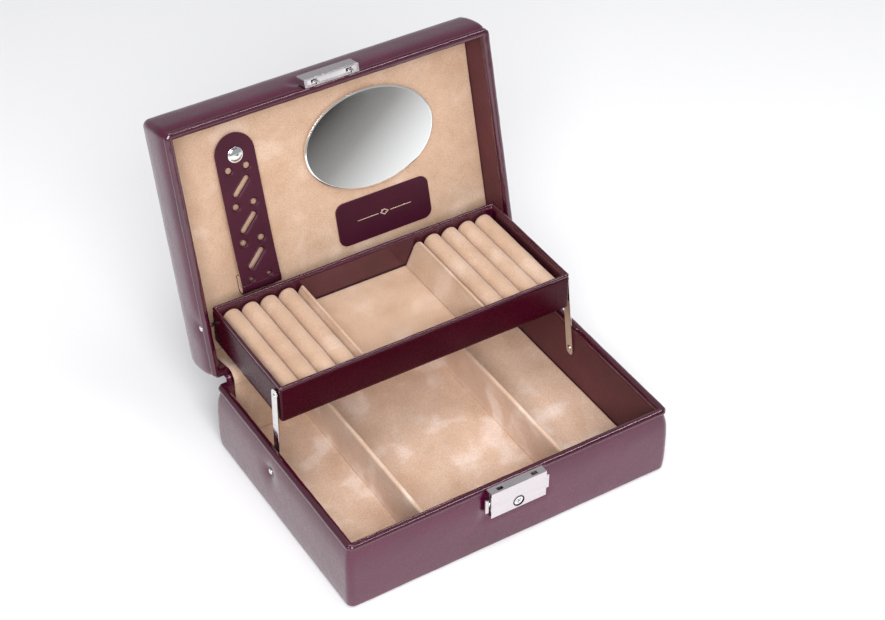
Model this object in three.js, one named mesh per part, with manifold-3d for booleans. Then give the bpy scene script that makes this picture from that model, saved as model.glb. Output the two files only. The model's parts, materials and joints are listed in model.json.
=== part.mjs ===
// Leather jewellery case with a hinged lid, a tray that rises with the lid on two side arms,
// a press-to-open lock, a mirror and an earring strap.
// Millimetres, +Z up. Origin: the middle of the underside. +X right, +Y towards the hinge.
// The lid is modelled closed over the base and then turned open about the hinge axis.
import * as THREE from 'three';
import { mergeVertices } from 'three/addons/utils/BufferGeometryUtils.js';
import Module from 'manifold-3d';

const wasm = await Module();
wasm.setup();

// ---------- driving dimensions ----------
const CASE_W = 260;
const CASE_D = 190;
const BASE_H = 57.6;
const LID_SIDE_H = 40;
const CROWN_H = 2.6; // how far the padded top rises above the lid's edge
const RIM_GAP = 0.6; // between the two rims when shut
const CORNER_R = 4;
const FIT = 0.3; // clearance between pieces that touch
const COVER_T = 1.4; // outer leather
const BOARD_T = 2.6; // side boards
const LINING_T = 0.8; // inner leather
const RIM_H = 3.8;
const HINGE = { y: 97.1, z: 58.3 };
const LID_OPEN = THREE.MathUtils.degToRad(104.57);
const PANEL_DEPTH = 28.5; // from the shut rim line down to the lid's velour panel

// tray at rest, lid open
const TRAY = { halfW: 119.2, front: 15, back: 118, bottom: 78.4, top: 109.2, wall: 2.8 };
const ROLL = { first: 61.5, pitch: 15, width: 14.6, below: 4.2, count: 4 };

// side arms: lid pivot and tray pivot with the lid open, and the height of the base pivot;
// headX and footX are the arm's mid plane at its upper and lower pivot
const LID_PIVOT = { y: 115, z: 95.4 };
const TRAY_PIVOT = { y: 21.4, z: 98.5 };
const BASE_PIVOT_Z = 35.8;
const ARM = { width: 7.8, thick: 1.2, headX: 120.6, footX: 123.6, end: 5.8 };
const PIN_R = 1.5;
const PIN_HOLE_R = PIN_R + 0.35;

// ---------- derived dimensions ----------
const HALF_W = CASE_W / 2;
const HALF_D = CASE_D / 2;
const BOARD_OUT = COVER_T + FIT;
const BOARD_IN = BOARD_OUT + BOARD_T;
const LINING_OUT = BOARD_IN + FIT;
const WALL_T = LINING_OUT + LINING_T;
const WALL_TOP = BASE_H - RIM_H - FIT; // where the base's walls meet its rim
const LID_RIM_Z = BASE_H + RIM_GAP;
const LID_WALL_Z = LID_RIM_Z + RIM_H + FIT;
const LID_EDGE_Z = BASE_H + LID_SIDE_H;
const PANEL_Z = BASE_H + PANEL_DEPTH;

// ---------- materials ----------
function finish(color, roughness, metalness = 0) {
  return () => new THREE.MeshStandardMaterial({ color, roughness, metalness });
}
const leather = finish(0x52101f, 0.35);
const innerLeather = finish(0x4a1a22, 0.5);
const velour = finish(0xd4ae8e, 0.95);
const board = finish(0xa08a6c, 0.85);
const foam = finish(0xd8d2c4, 0.95);
const nickel = finish(0xd6d2d0, 0.3, 1);
const steel = finish(0xb9bbbe, 0.25, 1);
const mirror = finish(0xe6e8ea, 0.05, 1);

// ---------- geometry helpers ----------
// A geometry as one closed indexed surface with positions only, facing out.
function closed(geometry) {
  const bare = new THREE.BufferGeometry();
  bare.setAttribute('position', geometry.getAttribute('position').clone());
  if (geometry.index) bare.setIndex(geometry.index.clone());
  const merged = mergeVertices(bare, 1e-4);
  const old = merged.index.array;
  const kept = [];
  for (let i = 0; i < old.length; i += 3) {
    const [a, b, c] = [old[i], old[i + 1], old[i + 2]];
    if (a !== b && b !== c && c !== a) kept.push(a, b, c);
  }
  const flipped = signedVolume(merged.getAttribute('position'), kept) < 0;
  if (flipped) kept.reverse();
  merged.setIndex(kept);
  return merged;
}

function signedVolume(position, index) {
  const [a, b, c] = [new THREE.Vector3(), new THREE.Vector3(), new THREE.Vector3()];
  let sum = 0;
  for (let i = 0; i < index.length; i += 3) {
    a.fromBufferAttribute(position, index[i]);
    b.fromBufferAttribute(position, index[i + 1]);
    c.fromBufferAttribute(position, index[i + 2]);
    sum += a.dot(b.cross(c)) / 6;
  }
  return sum;
}

function toSolid(geometry) {
  const whole = closed(geometry);
  return new wasm.Manifold(new wasm.Mesh({
    numProp: 3,
    vertProperties: new Float32Array(whole.getAttribute('position').array),
    triVerts: new Uint32Array(whole.index.array),
  }));
}

function fromSolid(solid) {
  const { vertProperties, triVerts, numProp } = solid.getMesh();
  const geometry = new THREE.BufferGeometry();
  const position = new THREE.BufferAttribute(new Float32Array(vertProperties), numProp);
  geometry.setAttribute('position', position);
  geometry.setIndex(new THREE.BufferAttribute(new Uint32Array(triVerts), 1));
  return geometry;
}

function cut(geometry, ...tools) {
  const solid = tools.reduce((s, tool) => s.subtract(toSolid(tool)), toSolid(geometry));
  return fromSolid(solid);
}

function join(...parts) {
  return fromSolid(parts.map(toSolid).reduce((s, other) => s.add(other)));
}

function box(x0, x1, y0, y1, z0, z1) {
  const geometry = new THREE.BoxGeometry(x1 - x0, y1 - y0, z1 - z0);
  return geometry.translate((x0 + x1) / 2, (y0 + y1) / 2, (z0 + z1) / 2);
}

// A turned piece: points are [radius, distance along the axis], the axis along +Y, +X, -X or -Y.
function turned(points, along, segments = 20) {
  const profile = points.map(([r, d]) => new THREE.Vector2(r, d));
  const geometry = new THREE.LatheGeometry(profile, segments);
  if (along === '+X') geometry.rotateZ(-Math.PI / 2);
  if (along === '-X') geometry.rotateZ(Math.PI / 2);
  if (along === '-Y') geometry.rotateZ(Math.PI);
  return geometry;
}

function rod(radius, from, to, along, segments = 20) {
  return turned([[0, from], [radius, from], [radius, to], [0, to]], along, segments);
}

// One turn round a rectangle with round corners, anticlockwise seen from above.
function roundedLoop({ x, y, r, z, cy = 0 }, segments) {
  const points = [];
  const corners = [[1, -1, -0.5], [1, 1, 0], [-1, 1, 0.5], [-1, -1, 1]];
  for (const [sx, sy, start] of corners) {
    for (let i = 0; i <= segments; i++) {
      const a = (start + (0.5 * i) / segments) * Math.PI;
      points.push([sx * (x - r) + r * Math.cos(a), cy + sy * (y - r) + r * Math.sin(a), z]);
    }
  }
  return points;
}

// A skin through a stack of rounded rectangles: a ring closes on itself, a body is capped.
function loft(levels, { ring = false, segments = 3 } = {}) {
  const loops = levels.map((level) => roundedLoop(level, segments));
  const n = loops[0].length;
  const index = [];
  const steps = ring ? loops.length : loops.length - 1;
  for (let l = 0; l < steps; l++) {
    const m = (l + 1) % loops.length;
    for (let i = 0; i < n; i++) {
      const j = (i + 1) % n;
      index.push(l * n + i, l * n + j, m * n + j, l * n + i, m * n + j, m * n + i);
    }
  }
  const last = (loops.length - 1) * n;
  for (let i = 1; !ring && i < n - 1; i++) {
    index.push(0, i + 1, i, last, last + i, last + i + 1);
  }
  const geometry = new THREE.BufferGeometry();
  geometry.setAttribute('position', new THREE.Float32BufferAttribute(loops.flat(2), 3));
  geometry.setIndex(index);
  return geometry;
}

// A level of the case's outline, moved in by inset.
function outline(inset, z, r = Math.max(CORNER_R - inset, 0.4)) {
  return { x: HALF_W - inset, y: HALF_D - inset, r, z };
}

// A level of the tray's outline, moved in by inset.
function trayOutline(inset, z) {
  const cy = (TRAY.front + TRAY.back) / 2;
  const y = (TRAY.back - TRAY.front) / 2 - inset;
  return { x: TRAY.halfW - inset, y, r: Math.max(2 - inset, 0.4), z, cy };
}

// A plain wall all round, between two insets and two heights.
function wall(level, outer, inner, z0, z1) {
  return loft([level(inner, z0), level(outer, z0), level(outer, z1), level(inner, z1)],
    { ring: true });
}

// A leather roll on top of a wall: z runs from where it leaves the wall to its round crest.
function rolledRim(level, width, z, crest) {
  const r = width / 2;
  const up = Math.sign(crest - z);
  const profile = [level(width, z), level(0.5, z), level(0, z + 0.8 * up)];
  for (let i = 0; i <= 6; i++) {
    const a = (Math.PI * i) / 6;
    profile.push(level(r - r * Math.cos(a), crest - up * r * (1 - Math.sin(a))));
  }
  return loft(profile, { ring: true });
}

// An open-topped box of boards: outer and inner insets, underside, floor and wall top.
function tub(level, outer, inner, under, floor, top) {
  return loft([level(outer, under), level(outer, top), level(inner, top), level(inner, floor)]);
}

// A flat outline in the (y, z) plane, made thick along x from x0 to x1.
function plateAcrossX(shape, x0, x1, curveSegments = 8) {
  const geometry = new THREE.ExtrudeGeometry(shape,
    { depth: x1 - x0, bevelEnabled: false, curveSegments });
  const axes = new THREE.Matrix4().makeBasis(
    new THREE.Vector3(0, 1, 0), new THREE.Vector3(0, 0, 1), new THREE.Vector3(1, 0, 0));
  return geometry.applyMatrix4(axes).translate(x0, 0, 0);
}

// A flat outline in the (x, z) plane, made thick along y from y0 to y1.
function plateAcrossY(shape, y0, y1, curveSegments = 8) {
  const geometry = new THREE.ExtrudeGeometry(shape,
    { depth: y1 - y0, bevelEnabled: false, curveSegments });
  return geometry.rotateX(Math.PI / 2).translate(0, y1, 0);
}

// A flat outline in the (x, y) plane, made thick along z from z0 to z1.
function plateAcrossZ(shape, z0, z1, curveSegments = 8) {
  const geometry = new THREE.ExtrudeGeometry(shape,
    { depth: z1 - z0, bevelEnabled: false, curveSegments });
  return geometry.translate(0, 0, z0);
}

// A stadium: two round ends of radius r joined by straight sides.
function stadium([ax, ay], [bx, by], r) {
  const turn = Math.atan2(by - ay, bx - ax);
  const shape = new THREE.Shape();
  shape.absarc(bx, by, r, turn - Math.PI / 2, turn + Math.PI / 2, false);
  shape.absarc(ax, ay, r, turn + Math.PI / 2, turn + 1.5 * Math.PI, false);
  shape.closePath();
  return shape;
}

function roundedRect(x0, x1, y0, y1, r) {
  const shape = new THREE.Shape();
  shape.absarc(x1 - r, y0 + r, r, -Math.PI / 2, 0, false);
  shape.absarc(x1 - r, y1 - r, r, 0, Math.PI / 2, false);
  shape.absarc(x0 + r, y1 - r, r, Math.PI / 2, Math.PI, false);
  shape.absarc(x0 + r, y0 + r, r, Math.PI, 1.5 * Math.PI, false);
  shape.closePath();
  return shape;
}

// ---------- the linkage ----------
// A point of the lid, from its open place to its shut place.
function shutPlace({ y, z }, turn = LID_OPEN) {
  const [dy, dz] = [y - HINGE.y, z - HINGE.z];
  return {
    y: HINGE.y + dy * Math.cos(turn) - dz * Math.sin(turn),
    z: HINGE.z + dy * Math.sin(turn) + dz * Math.cos(turn),
  };
}

// The tray stays level, so it moves as its back pivot does.
function trayPivotAt(turn) {
  const lidPivot = shutPlace(LID_PIVOT, turn);
  return {
    y: TRAY_PIVOT.y + lidPivot.y - LID_PIVOT.y,
    z: TRAY_PIVOT.z + lidPivot.z - LID_PIVOT.z,
  };
}

// The base pivot is as far from the tray pivot with the lid open as with it shut.
function basePivot() {
  const end = trayPivotAt(LID_OPEN);
  const [dy, dz] = [TRAY_PIVOT.y - end.y, TRAY_PIVOT.z - end.z];
  const middle = { y: (TRAY_PIVOT.y + end.y) / 2, z: (TRAY_PIVOT.z + end.z) / 2 };
  return { y: middle.y - ((BASE_PIVOT_Z - middle.z) * dz) / dy, z: BASE_PIVOT_Z };
}

const BASE_PIVOT = basePivot();
const LID_PIVOT_SHUT = shutPlace(LID_PIVOT);
const ARM_LENGTH = Math.hypot(TRAY_PIVOT.y - BASE_PIVOT.y, TRAY_PIVOT.z - BASE_PIVOT.z);

// Where the arm's upper rivet goes, against the tray, as the lid shuts.
function armPinPath(steps) {
  const angleAt = (p) => Math.atan2(p.z - BASE_PIVOT.z, p.y - BASE_PIVOT.y);
  const first = angleAt(TRAY_PIVOT);
  const swing = angleAt(trayPivotAt(LID_OPEN)) - first;
  return Array.from({ length: steps + 1 }, (_, i) => {
    const tray = trayPivotAt((LID_OPEN * i) / steps);
    const a = first + (swing * i) / steps;
    return {
      y: TRAY_PIVOT.y + BASE_PIVOT.y + ARM_LENGTH * Math.cos(a) - tray.y,
      z: TRAY_PIVOT.z + BASE_PIVOT.z + ARM_LENGTH * Math.sin(a) - tray.z,
    };
  });
}

// ---------- the scene ----------
const jewelleryCase = new THREE.Group();
const hingePivot = new THREE.Group();
hingePivot.position.set(0, HINGE.y, HINGE.z);
hingePivot.rotation.x = -LID_OPEN;
const lid = new THREE.Group();
lid.position.set(0, -HINGE.y, -HINGE.z);
hingePivot.add(lid);
const base = new THREE.Group();
const tray = new THREE.Group();
const arms = new THREE.Group();
jewelleryCase.add(base, arms, tray, hingePivot);

function add(group, name, geometry, material) {
  const mesh = new THREE.Mesh(closed(geometry), material());
  mesh.name = name;
  group.add(mesh);
}

const SIDES = [['left', -1], ['right', 1]];

// A hole along X through one or both side walls, at a pivot.
function sideHole(pivot, radius, x0, x1) {
  return rod(radius, x0, x1, '+X').translate(0, pivot.y, pivot.z);
}

function bothSides(pivot, radius, x0, x1) {
  return [sideHole(pivot, radius, x0, x1), sideHole(pivot, radius, -x1, -x0)];
}

// ---------- base ----------
const FLOOR = { cover: 1.2, boardUnder: 1.5, boardTop: 4.1, velourUnder: 4.4, velourTop: 5.6 };
const HEAD_R = 2.2;
const LOCK_SCREW = { x: 18.5, z: 44.5, r: 1.1 };

function lockScrewHoles(radius) {
  return SIDES.map(([, s]) =>
    rod(radius, HALF_D - 6, HALF_D + 2, '-Y', 12).translate(s * LOCK_SCREW.x, 0, LOCK_SCREW.z));
}

function buildBaseBox() {
  add(base, 'bottom_cover', loft([outline(2, 0, 2), outline(2, FLOOR.cover, 2)]), leather);
  const boards = tub(outline, BOARD_OUT, BOARD_IN, FLOOR.boardUnder, FLOOR.boardTop, WALL_TOP);
  add(base, 'base_boards', cut(boards, ...bothSides(BASE_PIVOT, PIN_HOLE_R, 120, 135),
    ...lockScrewHoles(LOCK_SCREW.r + FIT)), board);

  const cover = loft([outline(COVER_T, 0.5), outline(0.8, 0.5), outline(0, 1.6),
    outline(0, WALL_TOP - 1.2), outline(0.7, WALL_TOP), outline(COVER_T, WALL_TOP)],
    { ring: true });
  add(base, 'base_cover', cut(cover, ...bothSides(BASE_PIVOT, HEAD_R + FIT, 120, 135),
    ...lockScrewHoles(LOCK_SCREW.r + FIT)), leather);

  const lining = wall(outline, LINING_OUT, WALL_T, FLOOR.velourUnder, WALL_TOP);
  add(base, 'base_wall_lining', cut(lining, ...bothSides(BASE_PIVOT, PIN_HOLE_R, 120, 135)),
    innerLeather);
  add(base, 'base_rim', rolledRim(outline, WALL_T, WALL_TOP + FIT, BASE_H), leather);
  add(base, 'base_floor_pad', loft([outline(WALL_T + FIT, FLOOR.velourUnder),
    outline(WALL_T + FIT, FLOOR.velourTop)]), velour);
}

const DIVIDER = { left: -62, right: 53.5, thick: 3.6, top: 40 };

// A velour divider standing on the base's floor, with a round top edge.
function buildBaseDivider(side) {
  const [x, half] = [DIVIDER[side], DIVIDER.thick / 2];
  const shape = new THREE.Shape();
  shape.moveTo(x - half, FLOOR.velourTop + FIT);
  shape.lineTo(x + half, FLOOR.velourTop + FIT);
  shape.absarc(x, DIVIDER.top - half, half, 0, Math.PI, false);
  shape.closePath();
  const reach = HALF_D - WALL_T - FIT;
  add(base, `base_divider_${side}`, plateAcrossY(shape, -reach, reach - 1.2, 6), velour);
}

// ---------- side arms and their rivets ----------
// An arm leans outwards from the tray's side to the base's wall.
function leaned(strip, s) {
  const position = strip.getAttribute('position');
  for (let i = 0; i < position.count; i++) {
    const up = (position.getZ(i) - BASE_PIVOT.z) / (TRAY_PIVOT.z - BASE_PIVOT.z);
    const x = THREE.MathUtils.lerp(ARM.footX, ARM.headX, up);
    position.setX(i, position.getX(i) + s * x);
  }
  return strip;
}

function buildArm(side, s) {
  const down = { y: BASE_PIVOT.y - TRAY_PIVOT.y, z: BASE_PIVOT.z - TRAY_PIVOT.z };
  const over = (ARM.end - ARM.width / 2) / ARM_LENGTH;
  const foot = [BASE_PIVOT.y + over * down.y, BASE_PIVOT.z + over * down.z];
  const head = [TRAY_PIVOT.y - over * down.y, TRAY_PIVOT.z - over * down.z];
  const strip = cut(plateAcrossX(stadium(foot, head, ARM.width / 2), -ARM.thick / 2, ARM.thick / 2),
    sideHole(BASE_PIVOT, PIN_HOLE_R, -5, 5), sideHole(TRAY_PIVOT, PIN_HOLE_R, -5, 5));
  add(arms, `arm_${side}`, leaned(strip, s), nickel);

  const outer = ARM.headX + ARM.thick / 2 + FIT;
  const rivet = turned([[0, TRAY.halfW - 1.6], [PIN_R, TRAY.halfW - 1.6], [PIN_R, outer],
    [2.2, outer], [1.8, outer + 0.4], [0, outer + 0.6]], s > 0 ? '+X' : '-X');
  add(arms, `arm_rivet_${side}`, rivet.translate(0, TRAY_PIVOT.y, TRAY_PIVOT.z), steel);
}

// The base rivet: head sunk in the outer leather, arm, and a closing head inside.
function buildBaseRivet(side, s) {
  const board0 = HALF_W - BOARD_OUT;
  const armIn = ARM.footX - ARM.thick / 2 - FIT;
  const profile = [[0, armIn - 0.6], [2.2, armIn - 0.4], [2.4, armIn], [PIN_R, armIn],
    [PIN_R, board0 + FIT], [HEAD_R, board0 + FIT], [HEAD_R - 0.7, board0 + 1.1],
    [0, board0 + 1.5]];
  const rivet = turned(profile, s > 0 ? '+X' : '-X');
  add(base, `base_rivet_${side}`, rivet.translate(0, BASE_PIVOT.y, BASE_PIVOT.z), steel);
}

// The lid rivet: head sunk in the outer leather, shoulder, tray wall, and a head in the tray.
function buildLidRivet(side, s) {
  const board0 = HALF_W - BOARD_OUT;
  const inside = HALF_W - WALL_T - FIT;
  const trayOut = TRAY.halfW + FIT;
  const trayIn = TRAY.halfW - TRAY.wall - FIT;
  const profile = [[0, trayIn - 1], [1.3, trayIn - 0.8], [1.9, trayIn], [PIN_R, trayIn],
    [PIN_R, trayOut], [2.8, trayOut], [2.8, inside], [PIN_R, inside], [PIN_R, board0 + FIT],
    [HEAD_R, board0 + FIT], [HEAD_R - 0.7, board0 + 1.1], [0, board0 + 1.5]];
  const rivet = turned(profile, s > 0 ? '+X' : '-X');
  add(lid, `lid_rivet_${side}`, rivet.translate(0, LID_PIVOT_SHUT.y, LID_PIVOT_SHUT.z), steel);
}

// ---------- lock on the base's front ----------
const LOCK = { halfW: 22.5, front: -HALF_D - 7, z0: 34.4, z1: 57, sheet: 1.2, gap: 0.3 };
const KEYHOLE = { z: 40.2, r: 3.6 };
const HOOK = { x: 14, halfW: 1.6, y0: -HALF_D - 4.7, y1: -HALF_D - 3.3, tip: 52.6 };
const LATCH = { z0: 44.6, z1: 47.4, inner: 6, tab: 26, tabIn: 22.9, fingerTop: 54.6 };

function buildLockCase() {
  const wallY = -HALF_D - LOCK.gap;
  const face = box(-LOCK.halfW, LOCK.halfW, LOCK.front, LOCK.front + LOCK.sheet,
    LOCK.z0, LOCK.z1);
  const top = box(-LOCK.halfW, LOCK.halfW, LOCK.front, wallY, LOCK.z1 - LOCK.sheet, LOCK.z1);
  const under = box(-LOCK.halfW, LOCK.halfW, LOCK.front, wallY, LOCK.z0, LOCK.z0 + LOCK.sheet);
  const slots = SIDES.map(([, s]) => box(s * HOOK.x - 2.4, s * HOOK.x + 2.4,
    HOOK.y0 - 0.7, HOOK.y1 + 0.7, 50, 60));
  const keyhole = rod(KEYHOLE.r + FIT, HALF_D + 4, HALF_D + 9, '-Y', 24);
  add(base, 'lock_case', cut(join(face, top, under), ...slots,
    keyhole.translate(0, 0, KEYHOLE.z)), nickel);

  const plate = box(-20.5, 20.5, wallY - 0.8, wallY, LOCK.z0 + 1.6, LOCK.z1 - 1.6);
  add(base, 'lock_back_plate', cut(plate, ...lockScrewHoles(LOCK_SCREW.r + FIT)), steel);
}

function buildLockScrew(side, s) {
  const seat = HALF_D + LOCK.gap + 0.8 + FIT;
  const screw = turned([[0, HALF_D - 3.6], [LOCK_SCREW.r, HALF_D - 3.2],
    [LOCK_SCREW.r, seat], [1.7, seat], [1.7, seat + 0.6], [0, seat + 0.6]], '-Y', 12);
  add(base, `lock_screw_${side}`, screw.translate(s * LOCK_SCREW.x, 0, LOCK_SCREW.z), steel);
}

// The cylinder that the key turns, with a three-lobed key slot in its face.
function buildKeyCylinder() {
  const [y0, y1] = [HALF_D + 2.2, HALF_D + 6.8];
  const plug = rod(KEYHOLE.r, y0, y1, '-Y', 24);
  const lobes = [0, 1, 2].map((i) => {
    const a = (Math.PI * (1 + 4 * i)) / 6;
    return rod(0.95, y1 - 2, y1 + 1, '-Y', 12).translate(1.1 * Math.cos(a), 0, 1.1 * Math.sin(a));
  });
  add(base, 'key_cylinder', cut(plug, ...lobes).translate(0, 0, KEYHOLE.z), steel);
}

// A side button: the tab that is pressed, its latch bar, and the finger beside the hook.
function buildRelease(side, s) {
  const [y0, y1] = [HOOK.y0 - 0.1, HOOK.y1 + 0.1];
  const span = (a, b) => [Math.min(s * a, s * b), Math.max(s * a, s * b)];
  const tab = box(...span(LATCH.tab, LATCH.tabIn), LOCK.front + 1.8, -HALF_D - 2.8, 38.6, 50.6);
  const bar = box(...span(LATCH.tabIn + 0.5, LATCH.inner), y0, y1, LATCH.z0, LATCH.z1);
  const finger = box(...span(10.2, 11.6), y0, y1, LATCH.z1 - 0.5, LATCH.fingerTop);
  add(base, `release_button_${side}`, join(tab, bar, finger), nickel);
}

// The coil spring that holds the two latch bars apart.
function buildLatchSpring() {
  const [reach, r, turns] = [LATCH.inner - 0.6, 1.3, 6];
  class Coil extends THREE.Curve {
    getPoint(t, target = new THREE.Vector3()) {
      const a = 2 * Math.PI * turns * t;
      return target.set(-reach + 2 * reach * t, r * Math.cos(a), r * Math.sin(a));
    }
  }
  const wire = new THREE.Shape();
  wire.absarc(0, 0, 0.3, 0, 2 * Math.PI, false);
  const coil = new THREE.ExtrudeGeometry(wire,
    { steps: 54, curveSegments: 3, extrudePath: new Coil() });
  const middle = [(HOOK.y0 + HOOK.y1) / 2, (LATCH.z0 + LATCH.z1) / 2];
  add(base, 'latch_spring', coil.translate(0, ...middle), steel);
}

// ---------- leather spine and inner hinge lining ----------
const SPINE = { halfW: 122, thick: 1.2, reach: 26 };
const HINGE_LINING = { halfW: 119, thick: 1 };

function buildHinge() {
  const [y0, y1] = [HALF_D + FIT, HALF_D + FIT + SPINE.thick];
  add(base, 'spine_lower', box(-SPINE.halfW, SPINE.halfW, y0, y1,
    HINGE.z - 1.2 - SPINE.reach, HINGE.z - 1.2), leather);
  add(lid, 'spine_upper', box(-SPINE.halfW, SPINE.halfW, y0, y1,
    HINGE.z + 1.2, HINGE.z + 1.2 + SPINE.reach), leather);
  const yb = HALF_D - WALL_T - FIT;
  add(base, 'hinge_lining_lower', box(-HINGE_LINING.halfW, HINGE_LINING.halfW,
    yb - HINGE_LINING.thick, yb, FLOOR.velourTop + FIT, BASE_H - 1.5), velour);
  add(lid, 'hinge_lining_upper', box(-HINGE_LINING.halfW, HINGE_LINING.halfW,
    yb - HINGE_LINING.thick, yb, LID_RIM_Z + 1.5, PANEL_Z - FIT), velour);
}

// ---------- lid ----------
const LID_TOP = { coverTop: 90.9, boardUnder: 90.6, boardTop: 93.2, chamfer: 4, edgeR: 7 };

// Levels of the padded top: a quarter round at the edge, then a low crown, all set in by depth.
function crown(depth) {
  const { edgeR } = LID_TOP;
  const levels = [];
  for (let i = 1; i <= 4; i++) {
    const a = (Math.PI / 8) * i;
    levels.push([edgeR * (1 - Math.cos(a)), LID_EDGE_Z - edgeR * (1 - Math.sin(a))]);
  }
  for (const [reach, share] of [[14, 0.3], [28, 0.75], [60, 1]]) {
    levels.push([reach, LID_EDGE_Z + CROWN_H * share]);
  }
  return levels.map(([inset, z]) =>
    outline(inset + depth, z - depth, CORNER_R - depth + Math.max(0, inset - edgeR) * 0.3));
}

function buildLidBox() {
  const { boardTop, boardUnder, chamfer } = LID_TOP;
  const boards = loft([outline(BOARD_OUT + chamfer, boardTop, 2), outline(BOARD_OUT, boardUnder),
    outline(BOARD_OUT, LID_WALL_Z), outline(BOARD_IN, LID_WALL_Z), outline(BOARD_IN, boardUnder)]);
  const holes = (radius) => bothSides(LID_PIVOT_SHUT, radius, 120, 135);
  add(lid, 'lid_boards', cut(boards, ...holes(PIN_HOLE_R)), board);
  const cover = loft([outline(COVER_T, LID_WALL_Z), outline(0.7, LID_WALL_Z),
    outline(0, LID_WALL_Z + 1.2), outline(0, LID_TOP.coverTop - 0.4),
    outline(0.4, LID_TOP.coverTop), outline(COVER_T, LID_TOP.coverTop)], { ring: true });
  add(lid, 'lid_cover', cut(cover, ...holes(HEAD_R + FIT)), leather);
  add(lid, 'lid_wall_lining', cut(wall(outline, LINING_OUT, WALL_T, LID_WALL_Z,
    LID_TOP.boardUnder - FIT), ...holes(PIN_HOLE_R)), innerLeather);
  add(lid, 'lid_rim', rolledRim(outline, WALL_T, LID_WALL_Z - FIT, LID_RIM_Z), leather);

  const foot = LID_TOP.coverTop + FIT;
  const skin = [...crown(COVER_T).reverse(), outline(COVER_T, foot), outline(0, foot), ...crown(0)];
  add(lid, 'lid_top_leather', loft(skin), leather);
  add(lid, 'lid_top_foam', loft([outline(9, boardTop + FIT, 4), outline(10, LID_EDGE_Z - 2.2, 4),
    outline(30, LID_EDGE_Z - 0.6, 6), outline(62, LID_EDGE_Z + 0.6, 10)]), foam);
  add(lid, 'lid_panel', loft([outline(WALL_T + FIT, PANEL_Z),
    outline(WALL_T + FIT, LID_TOP.boardUnder - FIT)]), velour);
}

const MIRROR = { x: 33.3, y: -33.4, rx: 53.5, ry: 38, thick: 2.4, backing: 0.6 };
const LABEL = { x0: -3, x1: 76.3, y0: 11, y1: 45.5, r: 7, thick: 1.2 };

function buildLidFittings() {
  const glassTop = PANEL_Z - FIT - MIRROR.backing - FIT;
  const oval = (shrink) => {
    const shape = new THREE.Shape();
    shape.absellipse(MIRROR.x, MIRROR.y, MIRROR.rx - shrink, MIRROR.ry - shrink, 0, 2 * Math.PI);
    return shape;
  };
  add(lid, 'mirror_backing', plateAcrossZ(oval(2), glassTop + FIT, PANEL_Z - FIT, 20), board);
  add(lid, 'mirror_glass', plateAcrossZ(oval(0), glassTop - MIRROR.thick, glassTop, 24), mirror);
  const { x0, x1, y0, y1, r, thick } = LABEL;
  add(lid, 'label_patch', plateAcrossZ(roundedRect(x0, x1, y0, y1, r),
    PANEL_Z - FIT - thick, PANEL_Z - FIT, 4), leather);
}

// ---------- earring strap ----------
const STRAP = {
  x: -73, halfW: 15.6, tip: -71.2, foot: 42, thick: 1.5, z: PANEL_Z - 1.3, lift: 4.5,
};
const SNAP = { y: -55, r: 6.1 };
const STRAP_HOLE = { pitch: 28, first: -44.4, x: 7.1, r: 2.4 };
const STRAP_SLOT = { x: 4.2, y: 4.9, r: 2.2 };

// The strap and its snap cap stand further off the panel towards the strap's foot.
function lifted(piece) {
  const position = piece.getAttribute('position');
  for (let i = 0; i < position.count; i++) {
    const down = (position.getY(i) - STRAP.tip) / (STRAP.foot - STRAP.tip);
    position.setZ(i, position.getZ(i) - STRAP.lift * down);
  }
  return piece;
}

function buildStrap() {
  const shape = new THREE.Shape();
  const shoulder = STRAP.tip + STRAP.halfW;
  shape.moveTo(STRAP.x + STRAP.halfW, STRAP.foot);
  shape.lineTo(STRAP.x - STRAP.halfW, STRAP.foot);
  shape.absarc(STRAP.x, shoulder, STRAP.halfW, Math.PI, 2 * Math.PI, false);
  shape.closePath();
  const [z0, z1] = [STRAP.z - STRAP.thick, STRAP.z];
  const hole = (x, y, r) => rod(r, z0 - 1, z1 + 1, '+Y', 16).rotateX(Math.PI / 2)
    .translate(STRAP.x + x, y, 0);
  const openings = [hole(0, SNAP.y, 2.1)];
  for (let i = 0; i < 4; i++) {
    const y = STRAP_HOLE.first + i * STRAP_HOLE.pitch;
    openings.push(hole(-STRAP_HOLE.x, y, STRAP_HOLE.r), hole(STRAP_HOLE.x, y, STRAP_HOLE.r));
    if (i === 3) continue;
    const middle = y + STRAP_HOLE.pitch / 2;
    const slot = stadium([STRAP.x + STRAP_SLOT.x, middle - STRAP_SLOT.y],
      [STRAP.x - STRAP_SLOT.x, middle + STRAP_SLOT.y], STRAP_SLOT.r);
    openings.push(plateAcrossZ(slot, z0 - 1, z1 + 1, 6));
  }
  const strap = cut(plateAcrossZ(shape, z0, z1, 12), ...openings);
  add(lid, 'earring_strap', lifted(strap), leather);
}

function buildStrapFittings() {
  const cap = turned([[0, -1.6], [1.5, -1.5], [SNAP.r - 0.8, -1], [SNAP.r, -FIT - 0.1],
    [SNAP.r, -FIT], [1.7, -FIT], [1.7, STRAP.thick], [0, STRAP.thick]], '+Y', 24);
  cap.rotateX(Math.PI / 2).translate(STRAP.x, SNAP.y, STRAP.z - STRAP.thick);
  add(lid, 'snap_cap', lifted(cap), steel);
  const stud = rod(4, STRAP.z + FIT, PANEL_Z - FIT, '+Y', 20).rotateX(Math.PI / 2);
  add(lid, 'snap_stud', stud.translate(STRAP.x, SNAP.y, 0), steel);

  // the strap's foot is turned back on itself and stitched to the panel
  const [y0, y1] = [STRAP.foot + FIT, STRAP.foot + 6.2];
  const foldTop = STRAP.z - STRAP.thick - STRAP.lift;
  const fold = roundedRect(y0, y1, foldTop, PANEL_Z - FIT, 2.6);
  add(lid, 'strap_fold', plateAcrossX(fold, STRAP.x - STRAP.halfW, STRAP.x + STRAP.halfW, 3),
    leather);
}

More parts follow.
